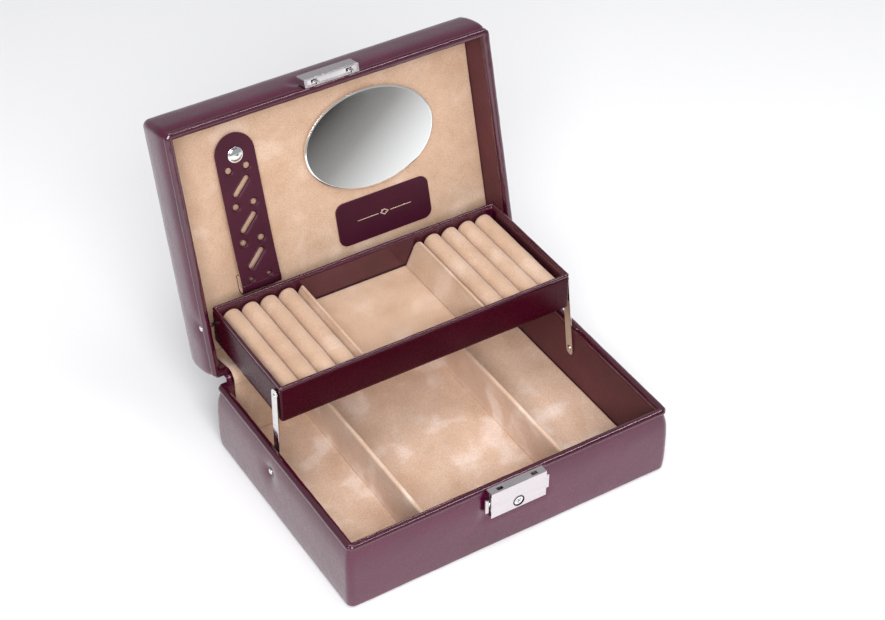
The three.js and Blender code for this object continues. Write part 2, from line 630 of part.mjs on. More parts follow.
// ---------- catch on the lid's front ----------
const CATCH = { halfW: 21.75, z0: LID_RIM_Z + 0.2, z1: 71, sheet: 1.2 };

function buildCatch() {
  const body = loft([{ x: CATCH.halfW, y: 3.35, r: 0.8, z: CATCH.z0, cy: -HALF_D - 3.65 },
    { x: CATCH.halfW, y: 3.35, r: 0.8, z: CATCH.z1 - 0.8, cy: -HALF_D - 3.65 },
    { x: CATCH.halfW - 0.8, y: 2.55, r: 0.6, z: CATCH.z1, cy: -HALF_D - 3.65 }]);
  const hollow = box(-19.6, 19.6, LOCK.front + CATCH.sheet + 0.1, -HALF_D - 1.6,
    CATCH.z0 - 1, CATCH.z1 - 2);
  add(lid, 'catch_block', cut(body, hollow), nickel);
  for (const [side, s] of SIDES) {
    const shank = box(s * HOOK.x - HOOK.halfW, s * HOOK.x + HOOK.halfW, HOOK.y0, HOOK.y1,
      HOOK.tip + 1.2, CATCH.z1 - 2 - FIT);
    const nose = loft([{ x: 0.9, y: 0.7, r: 0.2, z: HOOK.tip, cy: 0 },
      { x: HOOK.halfW, y: 0.7, r: 0.2, z: HOOK.tip + 1.3, cy: 0 }]);
    nose.translate(s * HOOK.x, (HOOK.y0 + HOOK.y1) / 2, 0);
    add(lid, `catch_hook_${side}`, join(shank, nose), steel);
  }
}

// ---------- tray ----------
const TRAY_SKIN = { cover: 0.7, under: 0.8, floor: 2.2, rimH: 3 };

function buildTrayBox() {
  const { cover, under, floor, rimH } = TRAY_SKIN;
  const wallTop = TRAY.top - rimH - FIT;
  const boardUnder = TRAY.bottom + under + FIT;
  const pivotHoles = bothSides(LID_PIVOT, PIN_HOLE_R, 110, 125);
  const pockets = SIDES.flatMap(([, s]) => armPinPath(8).map((pin) =>
    sideHole(pin, PIN_R + 0.6, ...(s > 0 ? [TRAY.halfW - 2, 125] : [-125, 2 - TRAY.halfW]))));
  const holes = [...pivotHoles, ...pockets];
  add(tray, 'tray_boards', cut(tub(trayOutline, cover + FIT, TRAY.wall, boardUnder,
    boardUnder + floor, wallTop), ...holes), board);
  add(tray, 'tray_cover', cut(wall(trayOutline, 0, cover, TRAY.bottom + 0.2, wallTop), ...holes),
    leather);
  add(tray, 'tray_rim', rolledRim(trayOutline, TRAY.wall, TRAY.top - rimH, TRAY.top), leather);
  add(tray, 'tray_bottom_cover', loft([trayOutline(cover + FIT, TRAY.bottom),
    trayOutline(cover + FIT, TRAY.bottom + under)]), leather);
}

const TRAY_FLOOR = TRAY.bottom + TRAY_SKIN.under + TRAY_SKIN.floor + 2 * FIT;
const TRAY_INSIDE = { front: TRAY.front + TRAY.wall + 0.8, back: TRAY.back - TRAY.wall - 0.8 };
const SLOPE = { foot: 39.5, head: 48.6, thick: 2.4, top: TRAY.top - 5.2 };

function buildTrayFloor() {
  const { front, back } = TRAY_INSIDE;
  add(tray, 'tray_floor_pad', box(-SLOPE.foot, SLOPE.foot, front, back, TRAY_FLOOR,
    TRAY_FLOOR + 1.2), velour);
}

// A velour board that leans outwards between the rolls and the middle compartment.
function buildTrayDivider(side, s) {
  const shape = new THREE.Shape();
  const foot = SLOPE.foot + FIT;
  shape.moveTo(s * foot, TRAY_FLOOR);
  shape.lineTo(s * (foot + SLOPE.thick), TRAY_FLOOR);
  shape.lineTo(s * (SLOPE.head + SLOPE.thick), SLOPE.top - 0.8);
  shape.lineTo(s * (SLOPE.head + SLOPE.thick / 2), SLOPE.top);
  shape.lineTo(s * SLOPE.head, SLOPE.top - 0.8);
  shape.closePath();
  add(tray, `tray_divider_${side}`, plateAcrossY(shape, TRAY_INSIDE.front, TRAY_INSIDE.back),
    velour);
}

// A ring roll: a velour-covered foam strip with a half-round top.
function buildRoll(side, s, i) {
  const half = ROLL.width / 2;
  const x = s * (ROLL.first + i * ROLL.pitch);
  const shape = new THREE.Shape();
  shape.moveTo(x - half, TRAY_FLOOR);
  shape.lineTo(x + half, TRAY_FLOOR);
  shape.absarc(x, TRAY.top - ROLL.below - half, half, 0, Math.PI, false);
  shape.closePath();
  add(tray, `ring_roll_${side}_${i + 1}`,
    plateAcrossY(shape, TRAY_INSIDE.front, TRAY_INSIDE.back, 8), velour);
}

// ---------- assembly ----------
buildBaseBox();
buildLockCase();
buildKeyCylinder();
buildLatchSpring();
buildHinge();
buildLidBox();
buildLidFittings();
buildStrap();
buildStrapFittings();
buildCatch();
buildTrayBox();
buildTrayFloor();
for (const [side, s] of SIDES) {
  buildBaseDivider(side);
  buildArm(side, s);
  buildBaseRivet(side, s);
  buildLidRivet(side, s);
  buildLockScrew(side, s);
  buildRelease(side, s);
  buildTrayDivider(side, s);
  for (let i = 0; i < ROLL.count; i++) buildRoll(side, s, i);
}

export default jewelleryCase;
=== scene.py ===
import json
import math
import bmesh
import bpy
import numpy as np
from mathutils import Matrix, Vector, noise


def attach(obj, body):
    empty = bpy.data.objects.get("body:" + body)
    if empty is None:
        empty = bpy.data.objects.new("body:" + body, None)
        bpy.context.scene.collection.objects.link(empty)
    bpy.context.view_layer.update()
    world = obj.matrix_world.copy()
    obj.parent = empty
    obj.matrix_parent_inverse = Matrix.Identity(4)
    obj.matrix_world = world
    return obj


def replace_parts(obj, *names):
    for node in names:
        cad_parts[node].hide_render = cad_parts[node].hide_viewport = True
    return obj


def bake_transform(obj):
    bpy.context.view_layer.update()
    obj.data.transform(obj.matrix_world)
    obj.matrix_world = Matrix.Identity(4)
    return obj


# An open jewellery case of burgundy leather with beige velour inside and nickel fittings.
# Shapes are worked out in millimetres in the row frame and scaled to metres in piece().
# The lid's shapes are worked out as if it were shut, and LID turns them to the open place.

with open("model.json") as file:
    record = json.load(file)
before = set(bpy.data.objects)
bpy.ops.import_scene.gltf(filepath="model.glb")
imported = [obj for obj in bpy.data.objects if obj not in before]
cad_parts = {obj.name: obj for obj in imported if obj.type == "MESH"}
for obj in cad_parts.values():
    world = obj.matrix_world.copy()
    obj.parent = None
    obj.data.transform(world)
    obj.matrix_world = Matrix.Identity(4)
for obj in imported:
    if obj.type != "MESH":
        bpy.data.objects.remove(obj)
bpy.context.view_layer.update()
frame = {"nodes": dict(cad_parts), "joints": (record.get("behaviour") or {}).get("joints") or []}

MM = 0.001
JOINTS = {joint["name"]: joint for joint in frame["joints"]}
HINGE = Vector(JOINTS["lid_hinge"]["pos_m"]) / MM
LID_OPEN = math.radians(JOINTS["lid_hinge"]["range_deg"][1])
LID = (Matrix.Translation(HINGE) @ Matrix.Rotation(-LID_OPEN, 4, "X")
       @ Matrix.Translation(-HINGE))
HERE = Matrix.Identity(4)
SIDES = (("left", -1), ("right", 1))


def pivot_of(joint):
    return Vector(JOINTS[joint]["pos_m"]) / MM


def corners(node, place=HERE):
    """Lowest and highest corner of a CAD node in millimetres, before place moved it."""
    back = place.inverted()
    points = [back @ (v.co / MM) for v in frame["nodes"][node].data.vertices]
    return (Vector([min(p[i] for p in points) for i in range(3)]),
            Vector([max(p[i] for p in points) for i in range(3)]))


# ---------- mesh helpers ----------
def piece(name, verts, faces, material, body, place=HERE):
    """A smooth mesh piece that rides on a body; verts are millimetres in the row frame."""
    mesh = bpy.data.meshes.new(name)
    mesh.from_pydata([place @ Vector(v) for v in verts], [], faces)
    mesh.transform(Matrix.Scale(MM, 4))
    return finish_mesh(name, mesh, material, body)


def show(name, data):
    """A new object in the scene."""
    obj = bpy.data.objects.new(name, data)
    bpy.context.scene.collection.objects.link(obj)
    return obj


def finish_mesh(name, mesh, material, body):
    bm = bmesh.new()
    bm.from_mesh(mesh)
    bmesh.ops.remove_doubles(bm, verts=bm.verts, dist=1e-6)
    bmesh.ops.recalc_face_normals(bm, faces=bm.faces)
    bm.to_mesh(mesh)
    bm.free()
    for polygon in mesh.polygons:
        polygon.use_smooth = True
    mesh.materials.clear()
    mesh.materials.append(material)
    obj = show(name, mesh)
    if body:
        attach(obj, body)
    return obj


def even_shading(obj):
    """Flat faces shade flat and their narrow round edges shade round."""
    obj.modifiers.new("even_shading", "WEIGHTED_NORMAL").keep_sharp = False
    return obj


CORNER_STEPS = 8


class Outline:
    """A rectangle with round corners, sampled with the same points at every inset."""

    def __init__(self, half_x, half_y, radius, centre_y=0.0, step=2.2):
        self.half_x, self.half_y, self.radius, self.centre_y = half_x, half_y, radius, centre_y
        self.steps_x = round(2 * half_x / step)
        self.steps_y = round(2 * half_y / step)

    def loop(self, inset, z, swell=0.0, radius=None, seam=0.0):
        """One turn at a height. swell pushes the middles of the sides out, and seam pulls
        the middles of the corners in."""
        r = max(self.radius - inset, 0.4) if radius is None else radius
        x, y = self.half_x - inset - r, self.half_y - inset - r
        points = []
        for sx, sy, quarter in ((1, -1, -1), (1, 1, 0), (-1, 1, 1), (-1, -1, 2)):
            for t in (i / CORNER_STEPS for i in range(CORNER_STEPS + 1)):
                a = (quarter + t) * math.pi / 2
                reach = r - seam * max(0.0, 1 - 3 * abs(2 * t - 1))
                points.append((sx * x + reach * math.cos(a),
                               self.centre_y + sy * y + reach * math.sin(a), z))
            a = (quarter + 1) * math.pi / 2
            out = Vector((math.cos(a), math.sin(a), 0))
            along = Vector((-out.y, out.x, 0))
            half, steps = (y, self.steps_y) if abs(out.x) > 0.5 else (x, self.steps_x)
            flat = Vector((out.x * (x + r), out.y * (y + r) + self.centre_y, z))
            for i in range(1, steps):
                t = 2 * i / steps - 1
                points.append(flat + along * (t * half) + out * (swell * (1 - t ** 4)))
        return points


def loft(loops, ring=False):
    """Vertices and faces through loops of equal length: a ring closes, a stack is capped."""
    count = len(loops[0])
    verts = [v for loop in loops for v in loop]
    faces = []
    for a in range(len(loops) if ring else len(loops) - 1):
        b = (a + 1) % len(loops)
        for i in range(count):
            j = (i + 1) % count
            faces.append((a * count + i, a * count + j, b * count + j, b * count + i))
    if not ring:
        faces.append(tuple(reversed(range(count))))
        faces.append(tuple(range((len(loops) - 1) * count, len(loops) * count)))
    return verts, faces


def arc(centre_a, centre_b, radius, start, end, steps):
    """Points of a circular arc in a plane, angles in degrees."""
    angles = (math.radians(start + (end - start) * i / steps) for i in range(steps + 1))
    return [(centre_a + radius * math.cos(a), centre_b + radius * math.sin(a)) for a in angles]


def circle(a, b, radius, steps):
    return arc(a, b, radius, 0, 360, steps)[:-1]


def turned(name, profile, centre, side, material, body, place=HERE):
    """A turned piece about an axis through centre. Profile points are (radius, distance);
    side is the unit direction that distances run along."""
    turn = Vector(side).to_track_quat("Z", "Y").to_matrix().to_4x4()
    loops = [[(*point, distance) for point in circle(0, 0, r, 48)] for r, distance in profile]
    return piece(name, *loft(loops), material, body, place @ Matrix.Translation(centre) @ turn)


def stadium(first, second, radius, steps):
    turn = math.degrees(math.atan2(second[1] - first[1], second[0] - first[0]))
    return (arc(*second, radius, turn - 90, turn + 90, steps)
            + arc(*first, radius, turn + 90, turn + 270, steps))


def rounded_rectangle(a0, a1, b0, b1, radius, steps=8):
    return (arc(a1 - radius, b0 + radius, radius, -90, 0, steps)
            + arc(a1 - radius, b1 - radius, radius, 0, 90, steps)
            + arc(a0 + radius, b1 - radius, radius, 90, 180, steps)
            + arc(a0 + radius, b0 + radius, radius, 180, 270, steps))


def plate_mesh(name, outline, holes, thick, edge):
    """A flat plate with rounded edges, centred on its mid plane, in its own plane."""
    curve = bpy.data.curves.new(name, "CURVE")
    curve.dimensions = "2D"
    curve.fill_mode = "BOTH"
    curve.extrude = thick / 2 - edge
    curve.bevel_depth = edge
    curve.bevel_resolution = 3
    curve.offset = -edge
    for points in [outline] + [hole[::-1] for hole in holes]:
        spline = curve.splines.new("POLY")
        spline.points.add(len(points) - 1)
        for point, (a, b) in zip(spline.points, points):
            point.co = (a, b, 0, 1)
        spline.use_cyclic_u = True
    holder = show(name, curve)
    graph = bpy.context.evaluated_depsgraph_get()
    mesh = bpy.data.meshes.new_from_object(holder.evaluated_get(graph))
    bpy.data.objects.remove(holder)
    mesh.name = name
    return mesh


def plate(name, outline, thick, edge, place, material, body, holes=()):
    mesh = plate_mesh(name, outline, holes, thick, edge)
    mesh.transform(Matrix.Scale(MM, 4) @ place)
    return even_shading(finish_mesh(name, mesh, material, body))


def bevelled(name, node, width, material, body, segments=3):
    """A CAD node's own shape, its edges rounded."""
    bm = bmesh.new()
    bm.from_mesh(frame["nodes"][node].data)
    bmesh.ops.remove_doubles(bm, verts=bm.verts, dist=2e-6)
    bmesh.ops.dissolve_limit(bm, angle_limit=math.radians(1), verts=bm.verts, edges=bm.edges)
    sharp = [e for e in bm.edges if len(e.link_faces) == 2 and e.calc_face_angle(0) > 0.5]
    bmesh.ops.bevel(bm, geom=sharp, offset=width * MM, segments=segments, profile=0.5,
                    affect="EDGES", clamp_overlap=True)
    mesh = bpy.data.meshes.new(name)
    bm.to_mesh(mesh)
    bm.free()
    obj = even_shading(finish_mesh(name, mesh, material, body))
    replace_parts(obj, node)


def places(mesh, field="co", layer=None):
    """A vertex layer of a mesh as an array of vectors."""
    layer = layer or mesh.vertices
    values = np.empty(len(layer) * 3, np.float32)
    layer.foreach_get(field, values)
    return values.reshape(-1, 3).astype(float)


def put_back(mesh, co):
    mesh.vertices.foreach_set("co", co.astype(np.float32).ravel())
    mesh.update()


def weather(obj, *waves):
    """Small uneven waves along the normals, each (height, size, seed), in millimetres."""
    for height, size, seed in waves:
        shift = Vector((seed, seed * 0.7, -seed))
        co = places(obj.data)
        normals = places(obj.data, "vector", obj.data.vertex_normals)
        push = [noise.fractal(Vector(p) / (size * MM) + shift, 0.6, 2.1, 2) for p in co]
        put_back(obj.data, co + normals * (np.array(push) * height * MM)[:, None])


def between(a, b, t):
    return a + (b - a) * t


def eased(count, pull):
    """Shares from 0 to 1, closer together near both ends."""
    return [t - pull * math.sin(2 * math.pi * t) / math.pi
            for t in (i / count for i in range(count + 1))]


def round_off(inward, radius):
    """How far a rounded edge lies below its face, going inward from the edge."""
    short = 1 - min(inward / radius, 1)
    return radius * (1 - math.sqrt(max(0.0, 1 - short ** 2)))


def pad_stations(low, high, edge, cell):
    """Where the rows of a pad's points lie along one side."""
    count = max(2, round((high - low) / cell))
    shoulder = [edge * share for share in (0.1, 0.35, 0.7)]
    return sorted([between(low, high, t) for t in eased(count, 0.12)]
                  + [low + d for d in shoulder] + [high - d for d in shoulder])


def pad(name, low, high, edge, material, body, place=HERE, cell=3.0, up=1):
    """A flat pad whose face has a rounded edge; the face is up (1) or down (-1)."""
    face, back = (high.z, low.z) if up > 0 else (low.z, high.z)
    xs, ys = (pad_stations(low[i], high[i], edge, cell) for i in (0, 1))
    nx, ny = len(xs), len(ys)
    verts = [(x, y, face - up * round_off(min(x - low.x, high.x - x, y - low.y, high.y - y), edge))
             for y in ys for x in xs]
    faces = [(a, a + 1, a + nx + 1, a + nx)
             for j in range(ny - 1) for a in range(j * nx, j * nx + nx - 1)]
    border = (list(range(nx)) + [j * nx + nx - 1 for j in range(1, ny)]
              + [(ny - 1) * nx + i for i in range(nx - 2, -1, -1)]
              + [j * nx for j in range(ny - 2, 0, -1)])
    first = len(verts)
    verts += [(*verts[b][:2], back) for b in border]
    for k, b in enumerate(border):
        m = (k + 1) % len(border)
        faces.append((b, first + k, first + m, border[m]))
    faces.append(tuple(range(first, first + len(border))))
    return piece(name, verts, faces, material, body, place)


def tube(name, path, radius, material, body, closed=False, sides=8):
    """A round bead along a path of points."""
    points = [Vector(p) for p in path]
    count = len(points)
    rings = []
    for i, point in enumerate(points):
        before = points[i - 1] if closed or i else point
        after = points[(i + 1) % count] if closed or i < count - 1 else point
        turn = (after - before).to_track_quat("Z", "Y")
        rings.append([point + turn @ Vector((*p, 0)) for p in circle(0, 0, radius, sides)])
    piece(name, *loft(rings, ring=closed), material, body)


# ---------- materials ----------
def grey(value):
    return (value, value, value)


class Look:
    """A material under construction; the keywords are plain values of its sockets."""

    def __init__(self, name, slot, **sockets):
        self.material = bpy.data.materials.new(name)
        self.material.use_nodes = True
        self.material["slot"] = slot
        self.nodes, self.links = self.material.node_tree.nodes, self.material.node_tree.links
        self.shader = next(n for n in self.nodes if n.type == "BSDF_PRINCIPLED")
        for socket, value in sockets.items():
            self.shader.inputs[socket.replace("_", " ")].default_value = value

    def add(self, kind, **inputs):
        node = self.nodes.new("ShaderNode" + kind)
        for name, value in inputs.items():
            node.inputs[name].default_value = value
        return node

    def texture(self, kind, size, stretch=(1, 1, 1), **inputs):
        """A procedural texture whose features are about size millimetres across."""
        place = self.add("TexCoord")
        scale = self.add("Mapping", Scale=[s / (size * MM) for s in stretch])
        self.links.new(place.outputs["Object"], scale.inputs["Vector"])
        node = self.add(kind, Scale=1.0, **inputs)
        self.links.new(scale.outputs["Vector"], node.inputs["Vector"])
        return node.outputs["Fac" if kind == "TexNoise" else "Distance"]

    def noise(self, size, stretch=(1, 1, 1), **inputs):
        return self.texture("TexNoise", size, stretch, **inputs)

    def ramp(self, source, *stops):
        node = self.add("ValToRGB")
        while len(node.color_ramp.elements) < len(stops):
            node.color_ramp.elements.new(0.5)
        for element, (position, colour) in zip(node.color_ramp.elements, stops):
            element.position = position
            element.color = (*colour, 1)
        self.links.new(source, node.inputs["Fac"])
        return node.outputs["Color"]

    def times(self, first, second):
        node = self.nodes.new("ShaderNodeMix")
        node.data_type = "RGBA"
        node.blend_type = "MULTIPLY"
        node.inputs["Factor"].default_value = 1.0
        self.links.new(first, node.inputs["A"])
        self.links.new(second, node.inputs["B"])
        return node.outputs["Result"]

    def feed(self, socket, source):
        self.links.new(source, self.shader.inputs[socket])

    def bump(self, *heights):
        """Stacked bumps: (height output, distance in millimetres) pairs."""
        normal = None
        for height, distance in heights:
            node = self.add("Bump", Strength=1.0, Distance=distance * MM)
            self.links.new(height, node.inputs["Height"])
            if normal:
                self.links.new(normal, node.inputs["Normal"])
            normal = node.outputs["Normal"]
        self.feed("Normal", normal)


def leather(name, dark, light, roughness, coat=0.0, gloss=0.5, relief=0.02, grain=0.9,
            slot="leather"):
    """Smooth dyed leather, whose gloss is tinted by the dye."""
    look = Look(name, slot, Coat_Weight=coat, Coat_Roughness=0.1, Specular_IOR_Level=gloss,
                Specular_Tint=(1.0, 0.7, 0.83, 1))
    clouds = look.noise(38, Detail=3.0, Roughness=0.55)
    pores = look.texture("TexVoronoi", grain, Randomness=1.0)
    fine = look.noise(1.6, Detail=4.0, Roughness=0.6)
    soft = look.noise(5.5, Detail=2.0, Roughness=0.5)
    colour = look.ramp(clouds, (0.3, dark), (0.7, light))
    tint = look.ramp(pores, (0.0, grey(0.84)), (0.6, grey(1.0)))
    smooth, dull = grey(roughness - 0.06), grey(roughness + 0.08)
    look.feed("Base Color", look.times(colour, tint))
    look.feed("Roughness", look.ramp(fine, (0.25, smooth), (0.75, dull)))
    look.bump((pores, relief), (fine, relief * 1.6), (soft, relief * 6))
    return look.material


def velour(name, base, pale, deep):
    """A short pile whose colour clouds paler and deeper: a painted sheen for nap that lies
    unevenly.
    """
    look = Look(name, "velour", Roughness=0.95, Sheen_Weight=0.3, Sheen_Roughness=0.5,
                Sheen_Tint=(1.0, 0.9, 0.85, 1), Specular_IOR_Level=0.1)
    nap_sheen = look.noise(28, Detail=2.0, Roughness=0.45, Distortion=0.2)
    brushed = look.noise(11, (1, 0.6, 1), Detail=2.0)
    pile = look.noise(0.75, Detail=2.0, Roughness=0.7)
    colour = look.ramp(nap_sheen, (0.3, deep), (0.46, base), (0.54, base), (0.68, pale))
    streak = look.ramp(brushed, (0.3, grey(0.93)), (0.7, grey(1.0)))
    fleck = look.ramp(pile, (0.34, grey(0.76)), (0.6, grey(1.0)))
    look.feed("Base Color", look.times(look.times(colour, streak), fleck))
    look.bump((pile, 0.12), (nap_sheen, 0.5))
    return look.material


def nickel(name, slot, colour, low, high, stretch=(0.02, 1, 1), relief=0.004):
    """Plated metal with fine brush lines; stretch says which way the lines run."""
    look = Look(name, slot, Metallic=1.0)
    lines = look.noise(0.35, stretch, Detail=3.0)
    smudge = look.noise(9, Detail=2.0)
    shade = tuple(c * 0.9 for c in colour)
    look.feed("Base Color", look.ramp(lines, (0.3, shade), (0.7, colour)))
    look.feed("Roughness", look.ramp(smudge, (0.3, grey(low)), (0.7, grey(high))))
    look.bump((lines, relief))
    return look.material


def silvered_glass():
    look = Look("silvered_glass", "mirror", Metallic=1.0, Base_Color=(0.93, 0.94, 0.94, 1))
    film = look.noise(24, Detail=2.0)
    look.feed("Roughness", look.ramp(film, (0.3, grey(0.03)), (0.7, grey(0.05))))
    return look.material


def fibreboard():
    look = Look("fibreboard", "board", Roughness=0.85)
    fibres = look.noise(1.2, (1, 0.3, 1), Detail=5.0)
    look.feed("Base Color", look.ramp(fibres, (0.3, (0.36, 0.27, 0.17)), (0.7, (0.5, 0.4, 0.27))))
    look.bump((fibres, 0.1))
    return look.material


def foam():
    look = Look("open_foam", "foam", Roughness=0.95)
    cells = look.texture("TexVoronoi", 1.1, Randomness=1.0)
    look.feed("Base Color", look.ramp(cells, (0.0, (0.6, 0.56, 0.48)), (0.6, (0.82, 0.78, 0.7))))
    look.bump((cells, 0.3))
    return look.material


OUTER = leather("burgundy_leather", (0.052, 0.0014, 0.016), (0.072, 0.003, 0.024), 0.24,
                coat=0.45, gloss=0.7)
ROLLED = leather("burgundy_rolled_leather", (0.034, 0.001, 0.009), (0.048, 0.002, 0.013), 0.2,
                 coat=0.9, gloss=0.6, relief=0.01)
DEEP = leather("burgundy_tray_leather", (0.03, 0.0008, 0.005), (0.042, 0.0015, 0.008), 0.26,
               gloss=0.17, relief=0.012)
INNER = leather("brown_burgundy_leather", (0.085, 0.02, 0.028), (0.115, 0.03, 0.036), 0.5,
                gloss=0.35, slot="inner_leather")
STRAP = leather("strap_leather", (0.038, 0.004, 0.013), (0.052, 0.007, 0.018), 0.42,
                coat=0.05, gloss=0.35, grain=0.7)
THREAD = leather("burgundy_thread", (0.09, 0.012, 0.03), (0.12, 0.02, 0.045), 0.6, grain=0.3)
VELOUR = velour("beige_velour", (0.60, 0.405, 0.285), (0.67, 0.48, 0.365), (0.555, 0.36, 0.245))
# the same velour made paler: painted light for the base floor and its dividers, which the lamps
# leave darker than the tray
PAINTED_LIGHT_VELOUR = velour("painted_light_velour", (0.75, 0.52, 0.385), (0.9, 0.71, 0.6), (0.69, 0.455, 0.32))
NICKEL = nickel("satin_nickel", "nickel", (0.71, 0.665, 0.68), 0.26, 0.36)
# the same nickel made paler: a painted highlight for the bright reflection the catch's sole shows
PAINTED_HIGHLIGHT_NICKEL = nickel("painted_highlight_nickel", "nickel", (0.9, 0.865, 0.875), 0.36, 0.46)
ARM_METAL = nickel("bright_nickel", "nickel", (0.78, 0.76, 0.75), 0.10, 0.16, (1, 0.05, 0.05),
                   0.002)
DARK_STEEL = nickel("dark_steel", "steel", (0.16, 0.15, 0.15), 0.25, 0.4)
BLACKENED = nickel("blackened_steel", "steel", (0.03, 0.027, 0.027), 0.3, 0.4)
CHROME = nickel("polished_nickel", "steel", (0.82, 0.82, 0.83), 0.06, 0.10, (1, 1, 1), 0.001)
GLASS = silvered_glass()
BOARD = fibreboard()
FOAM = foam()

# ---------- sizes read from the frame ----------
BASE_COVER = corners("base_cover")
BASE_RIM = corners("base_rim")
LINING = corners("base_wall_lining")
LID_COVER = corners("lid_cover", LID)
LID_RIM = corners("lid_rim", LID)
LID_TOP = corners("lid_top_leather", LID)
PANEL = corners("lid_panel", LID)
HALF_W, HALF_D = BASE_COVER[1].x, BASE_COVER[1].y
CORNER_R = 4.0
WALL_T = 5.4  # outer leather, board and lining together
COVER_T = 1.4
CREASE = 1.0  # how far the leather draws in where it meets the rim
STAND_OUT = 2.2  # how far the padded walls stand out at their fullest
RIM_START = 0.75  # where, up a wall, its leather starts to draw in to the rim
BASE_FITTINGS = (*corners("lock_case"), -1), (*corners("spine_lower"), 1)
LID_FITTINGS = (*corners("catch_block", LID), -1), (*corners("spine_upper", LID), 1)
CASE = Outline(HALF_W, HALF_D, CORNER_R)


def near_rim(t):
    return max(0.0, (t - RIM_START) / (1 - RIM_START))


def wall_inset(t):
    """How far a wall's leather lies in, t running from 0 at its far edge to 1 at the rim;
    negative where it stands out."""
    stand = STAND_OUT * (1 - abs((t - 0.4) / 0.6) ** 3)
    return CREASE * near_rim(t) ** 2 - stand


FAR_INSET = wall_inset(0)


def wall_corner(inset, t):
    """The corner radius of a wall's leather: soft along the wall, tighter at the rim."""
    return max(5.0 - near_rim(t) - max(inset, 0.0), 1.0)


def held_in(verts, fittings):
    """Keeps the padded leather flat under fittings, the (low, high, side) boxes of CAD nodes
    on the front (side -1) or back (side 1)."""
    for low, high, s in fittings:
        for i, (x, y, z) in enumerate(verts):
            stand = s * y - HALF_D
            away = math.hypot(max(low.x - x, 0, x - high.x), max(low.z - z, 0, z - high.z))
            room = 0.1 + STAND_OUT * (1 - math.exp(-(away / 6) ** 2))
            if stand > 0:
                verts[i] = (x, s * (HALF_D + min(stand, room)), z)
    return verts


def rivet_dimple(obj, s, spot):
    """The hollow that a rivet pulls into a side wall's leather, no deeper than the board."""
    co = places(obj.data) / MM
    far = np.hypot(co[:, 1] - spot.y, co[:, 2] - spot.z)
    pull = 1.9 * np.exp(-(far / 9) ** 2) + 2.0 * np.exp(-(far / 3.6) ** 2)
    out = s * co[:, 0]
    inmost = HALF_W - 1.15
    sunk = np.maximum(out - pull, inmost)
    co[:, 0] = np.where(out > inmost + 0.05, s * sunk, co[:, 0])
    put_back(obj.data, co * MM)


def rim_profile(width, foot, crest, bulge):
    """Levels of a rolled leather edge, from its outer foot over the crest to its inner foot.
    bulge is how far its outer side stands out."""
    up = 1 if crest > foot else -1
    r = width / 2
    start = crest - up * r
    levels = [(width, foot), (0.9, foot), (0.35, foot + up * 0.5)]
    levels += [(0.05, between(foot, start, 0.6))] + arc(r, start, r, 180, 180 - up * 180, 14)
    return [(inset - bulge * (1 - inset / width), z) for inset, z in levels]


def rolled_rim(name, node, outline, width, foot, crest, body, place, seed, bulge=0.0, fittings=()):
    """A rolled edge between the heights of its foot and its crest."""
    loops = [outline.loop(inset, z, seam=0.5)
             for inset, z in rim_profile(width, foot, crest, bulge)]
    verts, faces = loft(loops, ring=True)
    obj = piece(name, held_in(verts, fittings), faces, ROLLED, body, place)
    weather(obj, (0.14, 13, seed), (0.05, 3.5, seed + 5))
    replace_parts(obj, node)


# ---------- base ----------
def base_leather():
    low, high = BASE_COVER
    r = 2.0
    top, foot = high.z, low.z + r
    levels = [(COVER_T, low.z), (FAR_INSET + r, low.z)]
    levels += arc(FAR_INSET + r, foot, r, -90, -180, 8)[1:]
    levels += [(wall_inset(i / 26), between(foot, top - 0.5, i / 26)) for i in range(1, 26)]
    levels += [(CREASE + 0.2, top - 0.1), (CREASE + 0.3, top + 0.3), (COVER_T, top + 0.3)]
    loops = [CASE.loop(inset, z, radius=wall_corner(inset, (z - foot) / (top - foot)))
             for inset, z in levels]
    verts, faces = loft(loops, ring=True)
    obj = piece("base_leather", held_in(verts, BASE_FITTINGS), faces, OUTER, "base")
    weather(obj, (0.16, 42, 2), (0.05, 9, 3))
    for side, s in SIDES:
        rivet_dimple(obj, s, pivot_of(f"arm_{side}_pivot"))
    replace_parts(obj, "base_cover")


def inner_walls(name, node, body, low_z, high_z, place, seed):
    """The lining inside the board walls."""
    outer = WALL_T - 0.8
    levels = [(outer, low_z), (outer, high_z), (WALL_T - 0.2, high_z), (WALL_T, high_z - 0.3)]
    levels += [(WALL_T, between(high_z - 0.3, low_z, i / 16)) for i in range(1, 17)]
    loops = [CASE.loop(inset, z, radius=1.2) for inset, z in levels]
    obj = piece(name, *loft(loops, ring=True), INNER, body, place)
    weather(obj, (0.06, 24, seed))
    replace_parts(obj, node)


def floor_pad(name, node, edge, material, body, wave):
    obj = pad(name, *corners(node), edge, material, body)
    weather(obj, wave)
    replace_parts(obj, node)


def divider_section(low, high):
    """The cross-section of a velour divider: a soft round top on a slightly waisted card."""
    centre, half = (low.x + high.x) / 2, (high.x - low.x) / 2
    top = high.z - half
    section = [(centre + half + 1.4, low.z - 0.4), (centre + half + 0.6, low.z + 0.1)]
    for t in (i / 8 for i in range(1, 9)):
        waist = half * (1 - 0.2 * math.sin(math.pi * t))
        section.append((centre + waist, between(low.z, top, t)))
    other_side = [(2 * centre - x, z) for x, z in reversed(section)]
    return section + arc(centre, top, half, 0, 180, 10)[1:-1] + other_side


def base_divider(side, seed):
    node = f"base_divider_{side}"
    low, high = corners(node)
    section = divider_section(low, high)
    loops = [[(x, between(low.y, high.y, i / 60), z) for x, z in section] for i in range(61)]
    obj = piece(f"base_partition_{side}", *loft(loops), PAINTED_LIGHT_VELOUR, "base")
    weather(obj, (0.22, 30, seed), (0.07, 6, seed + 4))
    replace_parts(obj, node)


